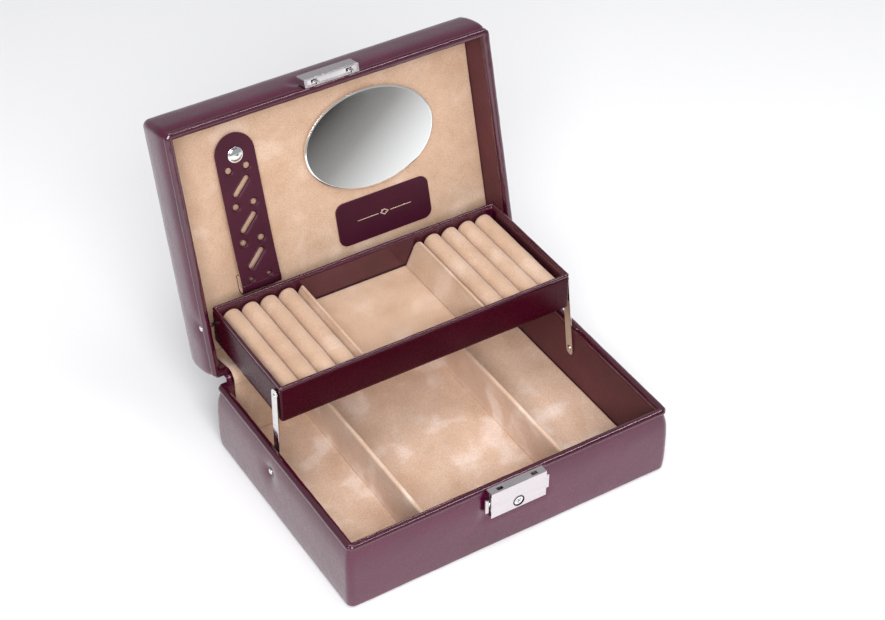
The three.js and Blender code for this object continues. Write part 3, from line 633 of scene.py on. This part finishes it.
# ---------- the leather spine and the velour lining at the hinge ----------
def strip_section(path, thick, shift=0.0):
    """The outline of a strip along a path in the (y, z) plane, moved to its right by shift."""
    left_side, right_side = [], []
    for i, (y, z) in enumerate(path):
        before, after = path[max(i - 1, 0)], path[min(i + 1, len(path) - 1)]
        along = Vector((after[0] - before[0], after[1] - before[1])).normalized()
        for line, way in ((left_side, shift - thick / 2), (right_side, shift + thick / 2)):
            line.append((y + along.y * way, z - along.x * way))
    return left_side + right_side[::-1]


def across(section, x0, x1, count):
    """A section in the (y, z) plane carried from x0 to x1."""
    return loft([[(between(x0, x1, k / count), y, z) for y, z in section]
                 for k in range(count + 1)])


def lid_point(y, z):
    """Where a point of the shut lid lies with the lid open, as (y, z)."""
    moved = LID @ Vector((0, y, z))
    return moved.y, moved.z


def straight(first, last, steps):
    return [(between(first[0], last[0], i / steps), between(first[1], last[1], i / steps))
            for i in range(steps + 1)]


def round_the_hinge(first, last):
    """Points between first and last round the hinge line, their distance from it changing
    evenly."""
    around = [(y - HINGE.y, z - HINGE.z) for y, z in (first, last)]
    (r0, a0), (r1, a1) = ((math.hypot(y, z), math.atan2(z, y)) for y, z in around)
    if a1 > a0:
        a1 -= 2 * math.pi
    polar = straight((r0, a0), (r1, a1), 22)[1:-1]
    return [(HINGE.y + r * math.cos(a), HINGE.z + r * math.sin(a)) for r, a in polar]


def hinge_sheet(name, nodes, foot, steps, material, seed, joining=None):
    """A sheet across the case, shaped round the hinge for the open lid. nodes are its lower and
    upper half in CAD, foot is where it starts, and joining is its points between the two halves."""
    low, high = corners(nodes[0])
    upper_low, upper_high = corners(nodes[1], LID)
    y = (low.y + high.y) / 2
    bend = (y, high.z), lid_point(y, upper_low.z)
    path = (straight((y, foot), bend[0], steps[0]) + (joining or round_the_hinge(*bend))
            + straight(bend[1], lid_point(y, upper_high.z), steps[1]))
    section = strip_section(path, high.y - low.y)
    obj = piece(name, *across(section, -high.x, high.x, 60), material, None)
    weather(obj, (0.1, 18, seed))
    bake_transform(obj)
    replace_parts(obj, *nodes)


# ---------- tray ----------
TRAY_COVER = corners("tray_cover")
TRAY_RIM = corners("tray_rim")
TRAY_WALL = 2.8
TRAY_CENTRE_Y = (TRAY_COVER[0].y + TRAY_COVER[1].y) / 2
TRAY_HALF_D = (TRAY_COVER[1].y - TRAY_COVER[0].y) / 2
TRAY = Outline(TRAY_COVER[1].x, TRAY_HALF_D, 2.0, TRAY_CENTRE_Y)


def tray_leather():
    low, high = TRAY_COVER
    start = low.z + 0.7
    levels = [(0.7, low.z, 0), (0.5, low.z - 0.1, 0), (0.2, low.z + 0.2, 0), (0.03, start, 0)]
    levels += [(0, between(start, high.z - 0.5, i / 14), 0.18 * math.sin(math.pi * i / 14))
               for i in range(1, 14)]
    levels += [(0.2, high.z - 0.2, 0), (0.3, high.z + 0.35, 0), (0.9, high.z + 0.35, 0)]
    loops = [TRAY.loop(inset, z, swell) for inset, z, swell in levels]
    obj = piece("tray_leather", *loft(loops, ring=True), DEEP, "tray")
    weather(obj, (0.1, 34, 31), (0.03, 6, 32))
    seam = [(high.x - 11.5, low.y + 0.02, z) for z in (low.z + 0.8, high.z)]
    tube("tray_seam", seam, 0.22, DEEP, "tray")  # where the strip of leather ends
    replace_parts(obj, "tray_cover")


def tray_lining():
    """The thin leather on the inner faces of the tray's board walls."""
    floor = corners("tray_floor_pad")[0].z
    top = TRAY_RIM[1].z - 1.5
    inner = TRAY_WALL + 0.35
    levels = [(TRAY_WALL + 0.05, floor), (TRAY_WALL - 0.6, top), (inner, top - 0.4)]
    levels += [(inner, between(top - 0.4, floor, i / 10)) for i in range(1, 11)]
    loops = [TRAY.loop(inset, z, radius=0.8) for inset, z in levels]
    obj = piece("tray_lining", *loft(loops, ring=True), ROLLED, "tray")
    weather(obj, (0.04, 20, 33))


def tray_divider(side, s):
    """A thin velour board that leans outwards on the first roll, rounded at its top corners."""
    node = f"tray_divider_{side}"
    low, high = corners(node)
    foot, head, thick, round_end = 39.8, 48.6, 2.4, 6.0
    r = thick / 2
    roll = min(abs(corner.x) for corner in corners(f"ring_roll_{side}_1")) - 0.1
    loops = []
    for t in eased(64, 0.14):
        y = between(low.y, high.y, t)
        top = high.z - round_off(min(y - low.y, high.y - y), round_end)
        lean = between(foot, head, (top - low.z) / (high.z - low.z))
        section = [(foot - 0.5, low.z - 0.3), (foot + 0.3, low.z + 0.8)]
        section += straight((foot, low.z), (lean, top - r), 6)[2:]
        section += arc(lean + r, top - r, r, 180, 0, 10)[1:]
        section += [(between(lean + thick, roll, (k / 6) ** 0.7), top - r - 1.5 * k)
                    for k in range(1, 7)]
        loops.append([(s * x, y, z) for x, z in section + [(roll, low.z)]])
    obj = piece(f"tray_partition_{side}", *loft(loops), VELOUR, "tray")
    weather(obj, (0.15, 24, 71 + s))
    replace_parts(obj, node)


def ring_roll(side, number):
    """A foam strip in velour: a round back, flat foot and softly rounded ends."""
    node = f"ring_roll_{side}_{number}"
    low, high = corners(node)
    centre, half = (low.x + high.x) / 2, (high.x - low.x) / 2 - 0.05
    axis_z = high.z - half
    flank = [(half * 0.9, low.z), (half * 0.97, low.z + 1.2), (half * 0.985, axis_z - 6),
             (half, axis_z - 2)]
    section = flank + arc(0, axis_z, half, 0, 180, 20) + [(-x, z) for x, z in reversed(flank)]
    loops = []
    for t in eased(44, 0.13):
        y = between(low.y, high.y, t)
        scale = 1 - 0.8 * round_off(min(y - low.y, high.y - y), 2.6) / half
        loops.append([(centre + x * scale, y, max(low.z, between(axis_z, z, scale)))
                      for x, z in section])
    obj = piece(f"velour_roll_{side}_{number}", *loft(loops), VELOUR, "tray")
    seed = 40 + number + (10 if side == "right" else 0)
    weather(obj, (0.22, 16, seed), (0.06, 4, seed + 0.5))
    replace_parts(obj, node)


# ---------- lid ----------
TOP_EDGE_R = 5.0
PILLOW = 2.6  # how much higher the middle of the padded top is than its edge
SIDE_TOP = LID_TOP[1].z - PILLOW - TOP_EDGE_R
WELT = 10.5  # inset of the stitched line round the padded top
STITCH = {"pitch": 3.7, "long": 2.7, "thick": 0.32}


def lid_height(inset):
    """Height of the lid's leather, going in from the side."""
    top = LID_TOP[1].z - PILLOW
    within = inset - FAR_INSET
    if within < TOP_EDGE_R:
        return top - round_off(within, TOP_EDGE_R)
    groove = 0.9 * math.exp(-((inset - WELT) / 1.3) ** 2)
    t = min(1.0, (within - TOP_EDGE_R) / 48)
    return top + PILLOW * (1 - (1 - t) ** 2.4) - groove


def lid_skin_radius(inset, z):
    """The corner radius of the lid's leather at a level."""
    within = inset - FAR_INSET - TOP_EDGE_R
    if within <= 0:
        return wall_corner(inset, (SIDE_TOP - z) / (SIDE_TOP - LID_COVER[0].z))
    return min(1.5 + within * 0.25, (HALF_D - inset) * 0.8)


def lid_leather():
    """Sides and padded top in one: from the top's underside down inside the walls, round
    their rim, up outside and in over the top."""
    foot = LID_COVER[0].z
    edge_end = FAR_INSET + TOP_EDGE_R
    insets = [edge_end - TOP_EDGE_R * math.cos(math.pi * i / 20) for i in range(1, 11)]
    insets += [edge_end + 0.6 * i for i in range(1, 19)] + [14.2 + 3.2 * i for i in range(1, 25)]
    levels = [(inset + COVER_T * 0.6, lid_height(inset) - COVER_T) for inset in reversed(insets)]
    levels += [(COVER_T, SIDE_TOP - 2), (COVER_T, foot - 0.3), (CREASE + 0.3, foot - 0.3),
               (CREASE + 0.2, foot + 0.1)]
    levels += [(wall_inset(1 - i / 18), between(foot + 0.5, SIDE_TOP, i / 18))
               for i in range(1, 19)]
    levels += [(inset, lid_height(inset)) for inset in insets]
    loops = [CASE.loop(inset, z, radius=lid_skin_radius(inset, z)) for inset, z in levels]
    verts, faces = loft(loops)
    obj = piece("lid_leather", held_in(verts, LID_FITTINGS), faces, OUTER, "lid", LID)
    weather(obj, (0.16, 40, 51), (0.05, 8, 52))
    for _, s in SIDES:
        rivet_dimple(obj, s, pivot_of("tray_pivot"))
    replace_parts(obj, "lid_cover", "lid_top_leather")


def stitch(at, along):
    """The rings of a thread bowed between its two holes."""
    aside, up = Vector((-along.y, along.x, 0)), Vector((0, 0, 1))
    rings = []
    for t in (i / 5 for i in range(6)):
        bow = math.sin(math.pi * t)
        height = lid_height(WELT) + 0.25 * (1 + bow)
        middle = at + along * (STITCH["long"] * (t - 0.5)) + up * height
        ring = circle(0, 0, STITCH["thick"] * (0.45 + 0.55 * bow), 6)
        rings.append([middle + aside * a + up * b for a, b in ring])
    return rings


def lid_stitches():
    """One short thread after another along the welt of the padded top."""
    line = Outline(HALF_W, HALF_D, CORNER_R, step=1.0).loop(WELT, 0, radius=2.4)
    points = [Vector(p) for p in line]
    verts, faces = [], []
    travelled, due = 0.0, 0.0
    for a, b in zip(points, points[1:] + points[:1]):
        span = (b - a).length
        while due < travelled + span:
            at = a + (b - a) * ((due - travelled) / max(span, 1e-9))
            thread, sides = loft(stitch(at, (b - a).normalized()))
            faces += [[len(verts) + i for i in face] for face in sides]
            verts += thread
            due += STITCH["pitch"]
        travelled += span
    piece("lid_stitching", verts, faces, THREAD, "lid", LID)


def lid_velour():
    obj = pad("lid_velour", *PANEL, 0.8, VELOUR, "lid", LID, cell=3.4, up=-1)
    weather(obj, (0.14, 30, 61))
    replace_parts(obj, "lid_panel")


def mirror():
    """The oval glass, thinner at its ground bevel."""
    low, high = corners("mirror_glass", LID)
    centre, radii = (low + high) / 2, (high - low) / 2
    bevel, ground = 1.0, 0.15
    levels = [(0.3, high.z), (0, high.z - 0.3), (0, low.z + ground + 0.15), (0.15, low.z + ground),
              (bevel, low.z), (bevel + 0.3, low.z)]
    loops = [[(centre.x + (radii.x - inset) * a, centre.y + (radii.y - inset) * b, z)
              for a, b in circle(0, 0, 1, 128)] for inset, z in levels]
    obj = piece("mirror_plate", *loft(loops), GLASS, "lid", LID)
    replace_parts(even_shading(obj), "mirror_glass")


def label():
    """A leather patch with a plain foil rule on each side of a lozenge."""
    low, high = corners("label_patch", LID)
    centre = (low + high) / 2
    outline = rounded_rectangle(low.x, high.x, low.y, high.y, 7)
    place = LID @ Matrix.Translation((0, 0, centre.z))
    obj = plate("label_leather", outline, high.z - low.z, 0.45, place, STRAP, "lid")
    face = LID @ Matrix.Translation((centre.x, centre.y, low.z - 0.03))
    near, far, lozenge = 5.0, 23.0, 2.6
    right = rounded_rectangle(near, far, -0.35, 0.35, 0.3, 3)
    left = rounded_rectangle(-far, -near, -0.35, 0.35, 0.3, 3)
    diamond = [(lozenge * 1.5, 0), (0, lozenge), (-lozenge * 1.5, 0), (0, -lozenge)]
    hollow = [(x * 0.6, y * 0.6) for x, y in diamond]
    foil = [plate(name, shape, 0.16, 0.05, face, CHROME, "lid", holes) for name, shape, holes in (
        ("label_rule_left", left, ()), ("label_rule_right", right, ()),
        ("label_lozenge", diamond, [hollow]))]
    enclosed(outline) * MM ** 2
    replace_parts(obj, "label_patch")


# ---------- earring strap ----------
STRAP_LOW, STRAP_HIGH = corners("earring_strap", LID)
STRAP_THICK = 1.5
STRAP_FACE = STRAP_HIGH.z - STRAP_THICK  # at the strap's tip
STRAP_LIFT = STRAP_FACE - STRAP_LOW.z
STRAP_HOLE = {"pitch": 28.0, "first": -44.4, "x": 7.1, "r": 2.3}
STRAP_SLOT = {"x": 5.0, "y": 4.8, "r": 1.9}
DISH = 1.5  # width of the dished edge round an opening


def strap_openings(x):
    """Round holes in pairs, and a slanting slot between each two pairs, as (ends, radius)."""
    openings = []
    for i in range(4):
        y = STRAP_HOLE["first"] + i * STRAP_HOLE["pitch"]
        r = STRAP_HOLE["r"] if i < 3 else 1.3
        openings += [([(x + side * STRAP_HOLE["x"], y)], r) for side in (-1, 1)]
        if i < 3:
            middle = y + STRAP_HOLE["pitch"] / 2
            ends = [(x + way * STRAP_SLOT["x"], middle - way * STRAP_SLOT["y"]) for way in (1, -1)]
            openings.append((ends, STRAP_SLOT["r"]))
    return openings


def opening_outline(ends, radius):
    return circle(*ends[0], radius, 32) if len(ends) == 1 else stadium(*ends, radius, 16)


def enclosed(outline):
    """The area within an outline."""
    turns = zip(outline, outline[1:] + outline[:1])
    return abs(sum(a[0] * b[1] - b[0] * a[1] for a, b in turns)) / 2


def strap_bow(y):
    """How much further the strap stands off than at its tip: more and more to its foot."""
    down = (y - STRAP_LOW.y) / (STRAP_HIGH.y - STRAP_LOW.y)
    return STRAP_LIFT * down + 2.2 * max(0.0, (y - 2) / 44) ** 2


def strap_layer(name, outline, cuts, thick, edge, z, material):
    """One layer of the strap: a plate with its openings, bowed away from the panel."""
    mesh = plate_mesh(name, outline, cuts, thick, edge)
    bm = bmesh.new()
    bm.from_mesh(mesh)
    bmesh.ops.remove_doubles(bm, verts=bm.verts, dist=1e-3)
    for step in range(12):
        bmesh.ops.bisect_plane(bm, geom=bm.verts[:] + bm.edges[:] + bm.faces[:], dist=1e-4,
                               plane_co=(0, 2 + 3.6 * step, 0), plane_no=(0, 1, 0))
    for vertex in bm.verts:
        vertex.co.z += z - strap_bow(vertex.co.y)
    bm.to_mesh(mesh)
    bm.free()
    mesh.transform(Matrix.Scale(MM, 4) @ LID)
    return even_shading(finish_mesh(name, mesh, material, "strap"))


def dish(name, ends, radius):
    """The edge of an opening, pressed back by the punch."""
    levels = ((DISH + 0.3, 0.5), (DISH - 0.1, 0.08), (1.1, 0.02), (0.75, 0.2), (0.45, 0.55),
              (0.2, 0.85), (0.0, 1.15), (0.1, 1.45), (DISH + 0.3, 1.45))
    loops = [[(a, b, STRAP_FACE + depth - strap_bow(b))
              for a, b in opening_outline(ends, radius + beyond)] for beyond, depth in levels]
    return piece(name, *loft(loops, ring=True), STRAP, "strap", LID)


def earring_strap():
    x, half = (STRAP_LOW.x + STRAP_HIGH.x) / 2, (STRAP_HIGH.x - STRAP_LOW.x) / 2
    tucked = STRAP_HIGH.y + 0.6  # the foot's end lies inside the loop
    outline = ([(STRAP_HIGH.x, tucked), (STRAP_LOW.x, tucked)]
               + arc(x, STRAP_LOW.y + half, half, 180, 360, 40))
    openings = strap_openings(x)
    wide = [opening_outline(ends, radius + DISH) for ends, radius in openings]
    obj = strap_layer("strap_leather", outline, wide, 1.0, 0.35, STRAP_FACE + 0.5, STRAP)
    parts = [strap_layer("strap_lining", outline, wide, 0.45, 0.15, STRAP_FACE + 1.25, VELOUR)]
    for number, (ends, radius) in enumerate(openings):
        parts.append(dish(f"strap_opening_edge_{number + 1}", ends, radius))
    area = enclosed(outline) - sum(enclosed(cut) for cut in wide)
    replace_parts(obj, "earring_strap")


def strap_loop():
    """The strap's foot turned back behind itself to the panel, lined with velour."""
    low, high = corners("strap_fold", LID)
    front = STRAP_FACE + 0.5 - strap_bow(STRAP_HIGH.y)
    back, bend_y = high.z - 0.55, high.y - 2.6
    path = [(STRAP_HIGH.y, front), ((STRAP_HIGH.y + bend_y) / 2, front)]
    path += arc(bend_y, (front + back) / 2, (back - front) / 2, -90, 90, 14)
    path += [(bend_y - 4, back), (bend_y - 9, back)]
    skin, inside = strip_section(path, 1.0), strip_section(path, 0.45, -0.75)
    obj = piece("strap_loop", *across(skin, low.x, high.x, 14), STRAP, None, LID)
    lining = piece("strap_loop_lining", *across(inside, low.x + 0.1, high.x - 0.1, 14), VELOUR,
                   None, LID)
    for part in (obj, lining):
        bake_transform(part)
    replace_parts(obj, "strap_fold")


def snap():
    low, high = corners("snap_cap", LID)
    centre = Vector(((low.x + high.x) / 2, (low.y + high.y) / 2, low.z))
    r = (high.x - low.x) / 2
    profile = [(0.05, 0), (1.6, 0.05), (3.2, 0.2), (r - 1.3, 0.55), (r - 0.9, 0.85),
               (r - 0.55, 0.75), (r - 0.15, 0.9), (r, 1.15), (r, 1.35), (1.7, 1.4),
               (1.7, high.z - low.z), (0.05, high.z - low.z)]
    cap = turned("snap_button", profile, centre, (0, 0, 1), CHROME, "strap", LID)
    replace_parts(cap, "snap_cap")


# ---------- metal ----------
# rivet heads as (radius, distance beyond the seat)
OUTER_HEAD = ((0.05, 0), (2.2, 0), (2.3, 0.25), (2.15, 0.7), (1.7, 1.05), (1.3, 1.05), (0.9, 0.6),
              (0.05, 0.5))
OUTER_SEAT = HALF_W - 0.6  # in the dimple of a side wall
ARM_HEAD = ((0.05, -2), (1.5, -2), (1.5, 0), (2.0, 0), (2.0, 0.2), (1.7, 0.42), (1.25, 0.42),
            (1.05, 0.3), (0.8, 0.42), (0.05, 0.5))


def head(name, shape, seat, centre, s, body):
    """A struck rivet head that faces outwards."""
    profile = [(r, seat + rise) for r, rise in shape]
    return turned(name, profile, centre, (s, 0, 0), CHROME, body)


def inner_head(name, seat, r, centre, s, body):
    """A flat closing head with a ring pressed into it, facing the middle of the case."""
    shape = ((0.05, 0), (r, 0), (r, -0.45), (r - 0.35, -0.7), (r - 0.8, -0.7), (r - 0.95, -0.55),
             (r - 1.2, -0.55), (r - 1.35, -0.75), (0.05, -0.85))
    head(name, shape, seat, centre, s, body)


def pin(name, node, seat, centre, s, body):
    """The dark shank of a rivet, from a seat to the case's outer side."""
    end = HALF_W - 1.2
    profile = [(0.05, seat), (1.5, seat), (1.5, end), (0.05, end)]
    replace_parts(turned(name, profile, centre, (s, 0, 0), DARK_STEEL, body), node)


def side_arm(side, s):
    """A flat strip that leans outwards from the tray's side to the base's wall."""
    low, high = corners(f"arm_{side}")
    lower = pivot_of(f"arm_{side}_pivot").yz
    upper = (sum(corners(f"arm_rivet_{side}"), Vector()) / 2).yz
    width, end, thick = 7.8, 1.9, 1.2
    along = (upper - lower).normalized()
    outline = stadium(lower - along * end, upper + along * end, width / 2, 16)
    foot_x = max(abs(low.x), abs(high.x)) - thick / 2
    head_x = min(abs(low.x), abs(high.x)) + thick / 2

    def middle(z):
        return between(foot_x, head_x, (z - low.z) / (high.z - low.z))

    mesh = plate_mesh(f"arm_strip_{side}", outline, [], thick, 0.3)
    for vertex in mesh.vertices:
        y, z, aside = vertex.co
        vertex.co = (s * middle(z) + aside, y, z)
    mesh.transform(Matrix.Scale(MM, 4))
    obj = even_shading(finish_mesh(f"arm_strip_{side}", mesh, ARM_METAL, f"{side}_arm"))
    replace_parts(obj, f"arm_{side}")
    arm_rivets(side, s, (0, *upper), middle(upper.y) + thick / 2,
               (0, *lower), middle(lower.y) - thick / 2)


def arm_rivets(side, s, upper, outside, lower, inside):
    """A small struck head on the arm's outside at the tray, and a flat one inside at the base."""
    arm_head = head(f"arm_head_{side}", ARM_HEAD, outside, upper, s, f"{side}_arm")
    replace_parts(arm_head, f"arm_rivet_{side}")
    inner_head(f"base_pivot_head_{side}", inside - 0.05, 2.3, lower, s, "base")
    pin(f"base_pivot_pin_{side}", f"base_rivet_{side}", inside - 0.1, lower, s, "base")
    head(f"base_outer_head_{side}", OUTER_HEAD, OUTER_SEAT, lower, s, "base")


def lid_rivet(side, s):
    """The rivet that carries the tray: through the lid's wall into the tray's wall."""
    centre = (0, *pivot_of("tray_pivot").yz)
    tray_inside = TRAY_COVER[1].x - TRAY_WALL - 0.35
    inner_head(f"tray_pivot_head_{side}", tray_inside, 2.0, centre, s, "lid")
    pin(f"lid_pivot_pin_{side}", f"lid_rivet_{side}", tray_inside, centre, s, "lid")
    head(f"lid_outer_head_{side}", OUTER_HEAD, OUTER_SEAT, centre, s, "lid")


def lock():
    """The lock housing, its keyhole ring, plug, buttons and plate."""
    bevelled("lock_housing", "lock_case", 0.35, NICKEL, "base")
    bevelled("lock_plate", "lock_back_plate", 0.15, NICKEL, "base", 2)
    bevelled("key_plug_face", "key_cylinder", 0.12, CHROME, "key_plug", 2)
    for side, _ in SIDES:
        bevelled(f"lock_button_{side}", f"release_button_{side}", 0.7, NICKEL,
                 f"{side}_release", 4)
    low, _ = corners("lock_case")
    ring = circle(*pivot_of("key_turn").xz, 4.1, 40)
    tube("keyhole_ring", [(a, low.y + 0.05, b) for a, b in ring], 0.5, BLACKENED, "base",
         closed=True, sides=10)


def catch():
    bevelled("catch_housing", "catch_block", 0.45, NICKEL, "lid")
    for side, _ in SIDES:
        bevelled(f"catch_tongue_{side}", f"catch_hook_{side}", 0.2, CHROME, "lid", 2)
    low, high = corners("catch_block", LID)
    x, y, _ = sum(corners("catch_hook_right", LID), Vector()) / 2
    m = 1.4  # margin round the sole
    outline = rounded_rectangle(low.x + m, high.x - m, low.y + m, high.y - m, 0.5, 4)
    slots = [rounded_rectangle(s * x - 2.3, s * x + 2.3, y - 1.1, y + 1.1, 0.3, 3)
             for _, s in SIDES]
    place = LID @ Matrix.Translation((0, 0, low.z + 0.9))
    # the sole's paler nickel is a painted highlight
    plate("catch_sole", outline, 0.8, 0.12, place, PAINTED_HIGHLIGHT_NICKEL, "lid", slots)


# ---------- carried-over CAD nodes ----------
def dress(material, *nodes):
    for node in nodes:
        mesh = frame["nodes"][node].data
        mesh.materials.clear()
        mesh.materials.append(material)


def carried_over():
    dress(OUTER, "bottom_cover", "tray_bottom_cover")
    dress(BOARD, "base_boards", "lid_boards", "tray_boards", "mirror_backing")
    dress(FOAM, "lid_top_foam")
    dress(CHROME, "lock_screw_left", "lock_screw_right", "latch_spring", "snap_stud")


# ---------- stage ----------
CAMERA = {"place": (-577.94, -928.99, 1051.21), "azimuth": -31.93, "elevation": 39.85,
          "roll": 0.29, "lens": 84.21}
LIGHTS = {  # place and size in metres, power in watts
    "key": ((-0.75, -1.45, 1.35), (1.4, 1.0), 46),
    "top": ((-0.1, 0.0, 1.6), (1.0, 0.8), 7),
    "strip": ((0.72, -0.45, 1.45), (1.2, 0.1), 5.5)}
LIT = Vector((0, 0.05, 0.05))  # the spot that every light faces


def camera():
    data = bpy.data.cameras.new("camera")
    data.lens = CAMERA["lens"]
    data.clip_end = 20
    obj = show("camera", data)
    azimuth, tilt, roll = (math.radians(a) for a in (
        CAMERA["azimuth"], 90 - CAMERA["elevation"], CAMERA["roll"]))
    obj.matrix_world = (Matrix.Translation(Vector(CAMERA["place"]) * MM)
                        @ Matrix.Rotation(azimuth, 4, "Z") @ Matrix.Rotation(tilt, 4, "X")
                        @ Matrix.Rotation(roll, 4, "Z"))
    bpy.context.scene.camera = obj


def area_light(name, place, size, power):
    data = bpy.data.lights.new(name, "AREA")
    data.shape = "RECTANGLE"
    data.size, data.size_y = size
    data.energy = power
    obj = show(name, data)
    obj.location = place
    obj.rotation_mode = "QUATERNION"
    obj.rotation_quaternion = (LIT - Vector(place)).to_track_quat("-Z", "Y")


def card(name, x0, x1, y0, y1, z, material):
    """A level sheet of the stage, in metres."""
    mesh = bpy.data.meshes.new(name)
    mesh.from_pydata([(x0, y0, z), (x1, y0, z), (x1, y1, z), (x0, y1, z)], [], [(0, 1, 2, 3)])
    mesh.materials.append(material)
    obj = show(name, mesh)
    return obj


def reflections_only(obj):
    obj.visible_camera = False
    obj.visible_diffuse = False
    obj.visible_shadow = False
    obj.visible_transmission = False


def painted_reflection_glow():
    """A glow that goes evenly from near black to white, from one corner to the opposite one: a
    painted reflection for the mirror.
    """
    look = Look("painted_reflection_card", "")
    grade, lift, glow = look.add("VectorMath"), look.add("Math"), look.add("Emission")
    grade.operation = "DOT_PRODUCT"
    grade.inputs[1].default_value = (3.7, 2.7, 0)
    lift.inputs[1].default_value = 1.11
    look.links.new(look.add("TexCoord").outputs["Object"], grade.inputs[0])
    look.links.new(grade.outputs["Value"], lift.inputs[0])
    colour = look.ramp(lift.outputs["Value"], (0.0, (0.03, 0.027, 0.024)),
                       (0.5, (0.32, 0.31, 0.305)), (1.0, grey(1.0)))
    look.links.new(colour, glow.inputs["Color"])
    output = next(n for n in look.nodes if n.type == "OUTPUT_MATERIAL")
    look.links.new(glow.outputs["Emission"], output.inputs["Surface"])
    look.nodes.remove(look.shader)
    return look.material


def studio():
    pale = Look("pale_floor", "", Roughness=0.8, Base_Color=(0.86, 0.86, 0.865, 1)).material
    # the black material is for a sheet seen only in reflections: painted dark reflections in the
    # leather's gloss
    black = Look("painted_dark_reflection", "", Roughness=1.0, Specular_IOR_Level=0.0,
                 Base_Color=(0.01, 0.01, 0.01, 1)).material
    card("studio_floor", -4, 4, -4, 4, 0, pale)
    # painted reflections: a glowing card in front of the case, seen only in the mirror and other
    # gloss, and a black sheet over the front of the set, seen only in the leather's gloss
    reflections_only(card("mirror_reflection_card", 0.29, 0.73, -1.345, -0.555, 0.003, painted_reflection_glow()))
    reflections_only(card("dark_reflection_sheet", -2.5, 2.5, -3, 0.5, 2.3, black))
    for name, settings in LIGHTS.items():
        area_light(name, *settings)
    world = bpy.data.worlds.new("studio_air")
    world.use_nodes = True
    air = next(n for n in world.node_tree.nodes if n.type == "BACKGROUND")
    air.inputs["Color"].default_value = (0.97, 0.975, 1.0, 1)
    air.inputs["Strength"].default_value = 0.44
    bpy.context.scene.world = world
    bpy.context.scene.view_settings.view_transform = "Standard"


# ---------- assembly ----------
camera()
studio()
carried_over()
base_leather()
rolled_rim("base_roll", "base_rim", CASE, WALL_T, BASE_RIM[0].z, BASE_RIM[1].z, "base", HERE, 1,
           0.8, BASE_FITTINGS)
inner_walls("base_inner_leather", "base_wall_lining", "base", LINING[0].z, LINING[1].z, HERE, 7)
floor_pad("base_floor_velour", "base_floor_pad", 0.9, PAINTED_LIGHT_VELOUR, "base", (0.12, 22, 11))
hinge_sheet("hinge_velour", ("hinge_lining_lower", "hinge_lining_upper"),
            corners("base_floor_pad")[1].z, (24, 20), VELOUR, 21)
hinge_sheet("hinge_spine", ("spine_lower", "spine_upper"), corners("spine_lower")[0].z, (16, 16),
            OUTER, 23, [(HINGE.y - 0.75, HINGE.z + 0.1), (HINGE.y - 0.05, HINGE.z + 0.75)])
tray_leather()
tray_lining()
rolled_rim("tray_roll", "tray_rim", TRAY, TRAY_WALL, TRAY_RIM[0].z, TRAY_RIM[1].z, "tray", HERE, 37)
floor_pad("tray_floor_velour", "tray_floor_pad", 0.8, VELOUR, "tray", (0.1, 20, 35))
lid_leather()
lid_stitches()
rolled_rim("lid_roll", "lid_rim", CASE, WALL_T, LID_RIM[1].z, LID_RIM[0].z, "lid", LID, 55, 0.8,
           LID_FITTINGS)
inner_walls("lid_inner_leather", "lid_wall_lining", "lid", corners("lid_wall_lining", LID)[1].z,
            LID_COVER[0].z, LID, 57)
lid_velour()
mirror()
label()
earring_strap()
strap_loop()
snap()
lock()
catch()
for side, s in SIDES:
    base_divider(side, 13 + s)
    tray_divider(side, s)
    for number in range(1, 5):
        ring_roll(side, number)
    side_arm(side, s)
    lid_rivet(side, s)

bpy.context.view_layer.update()
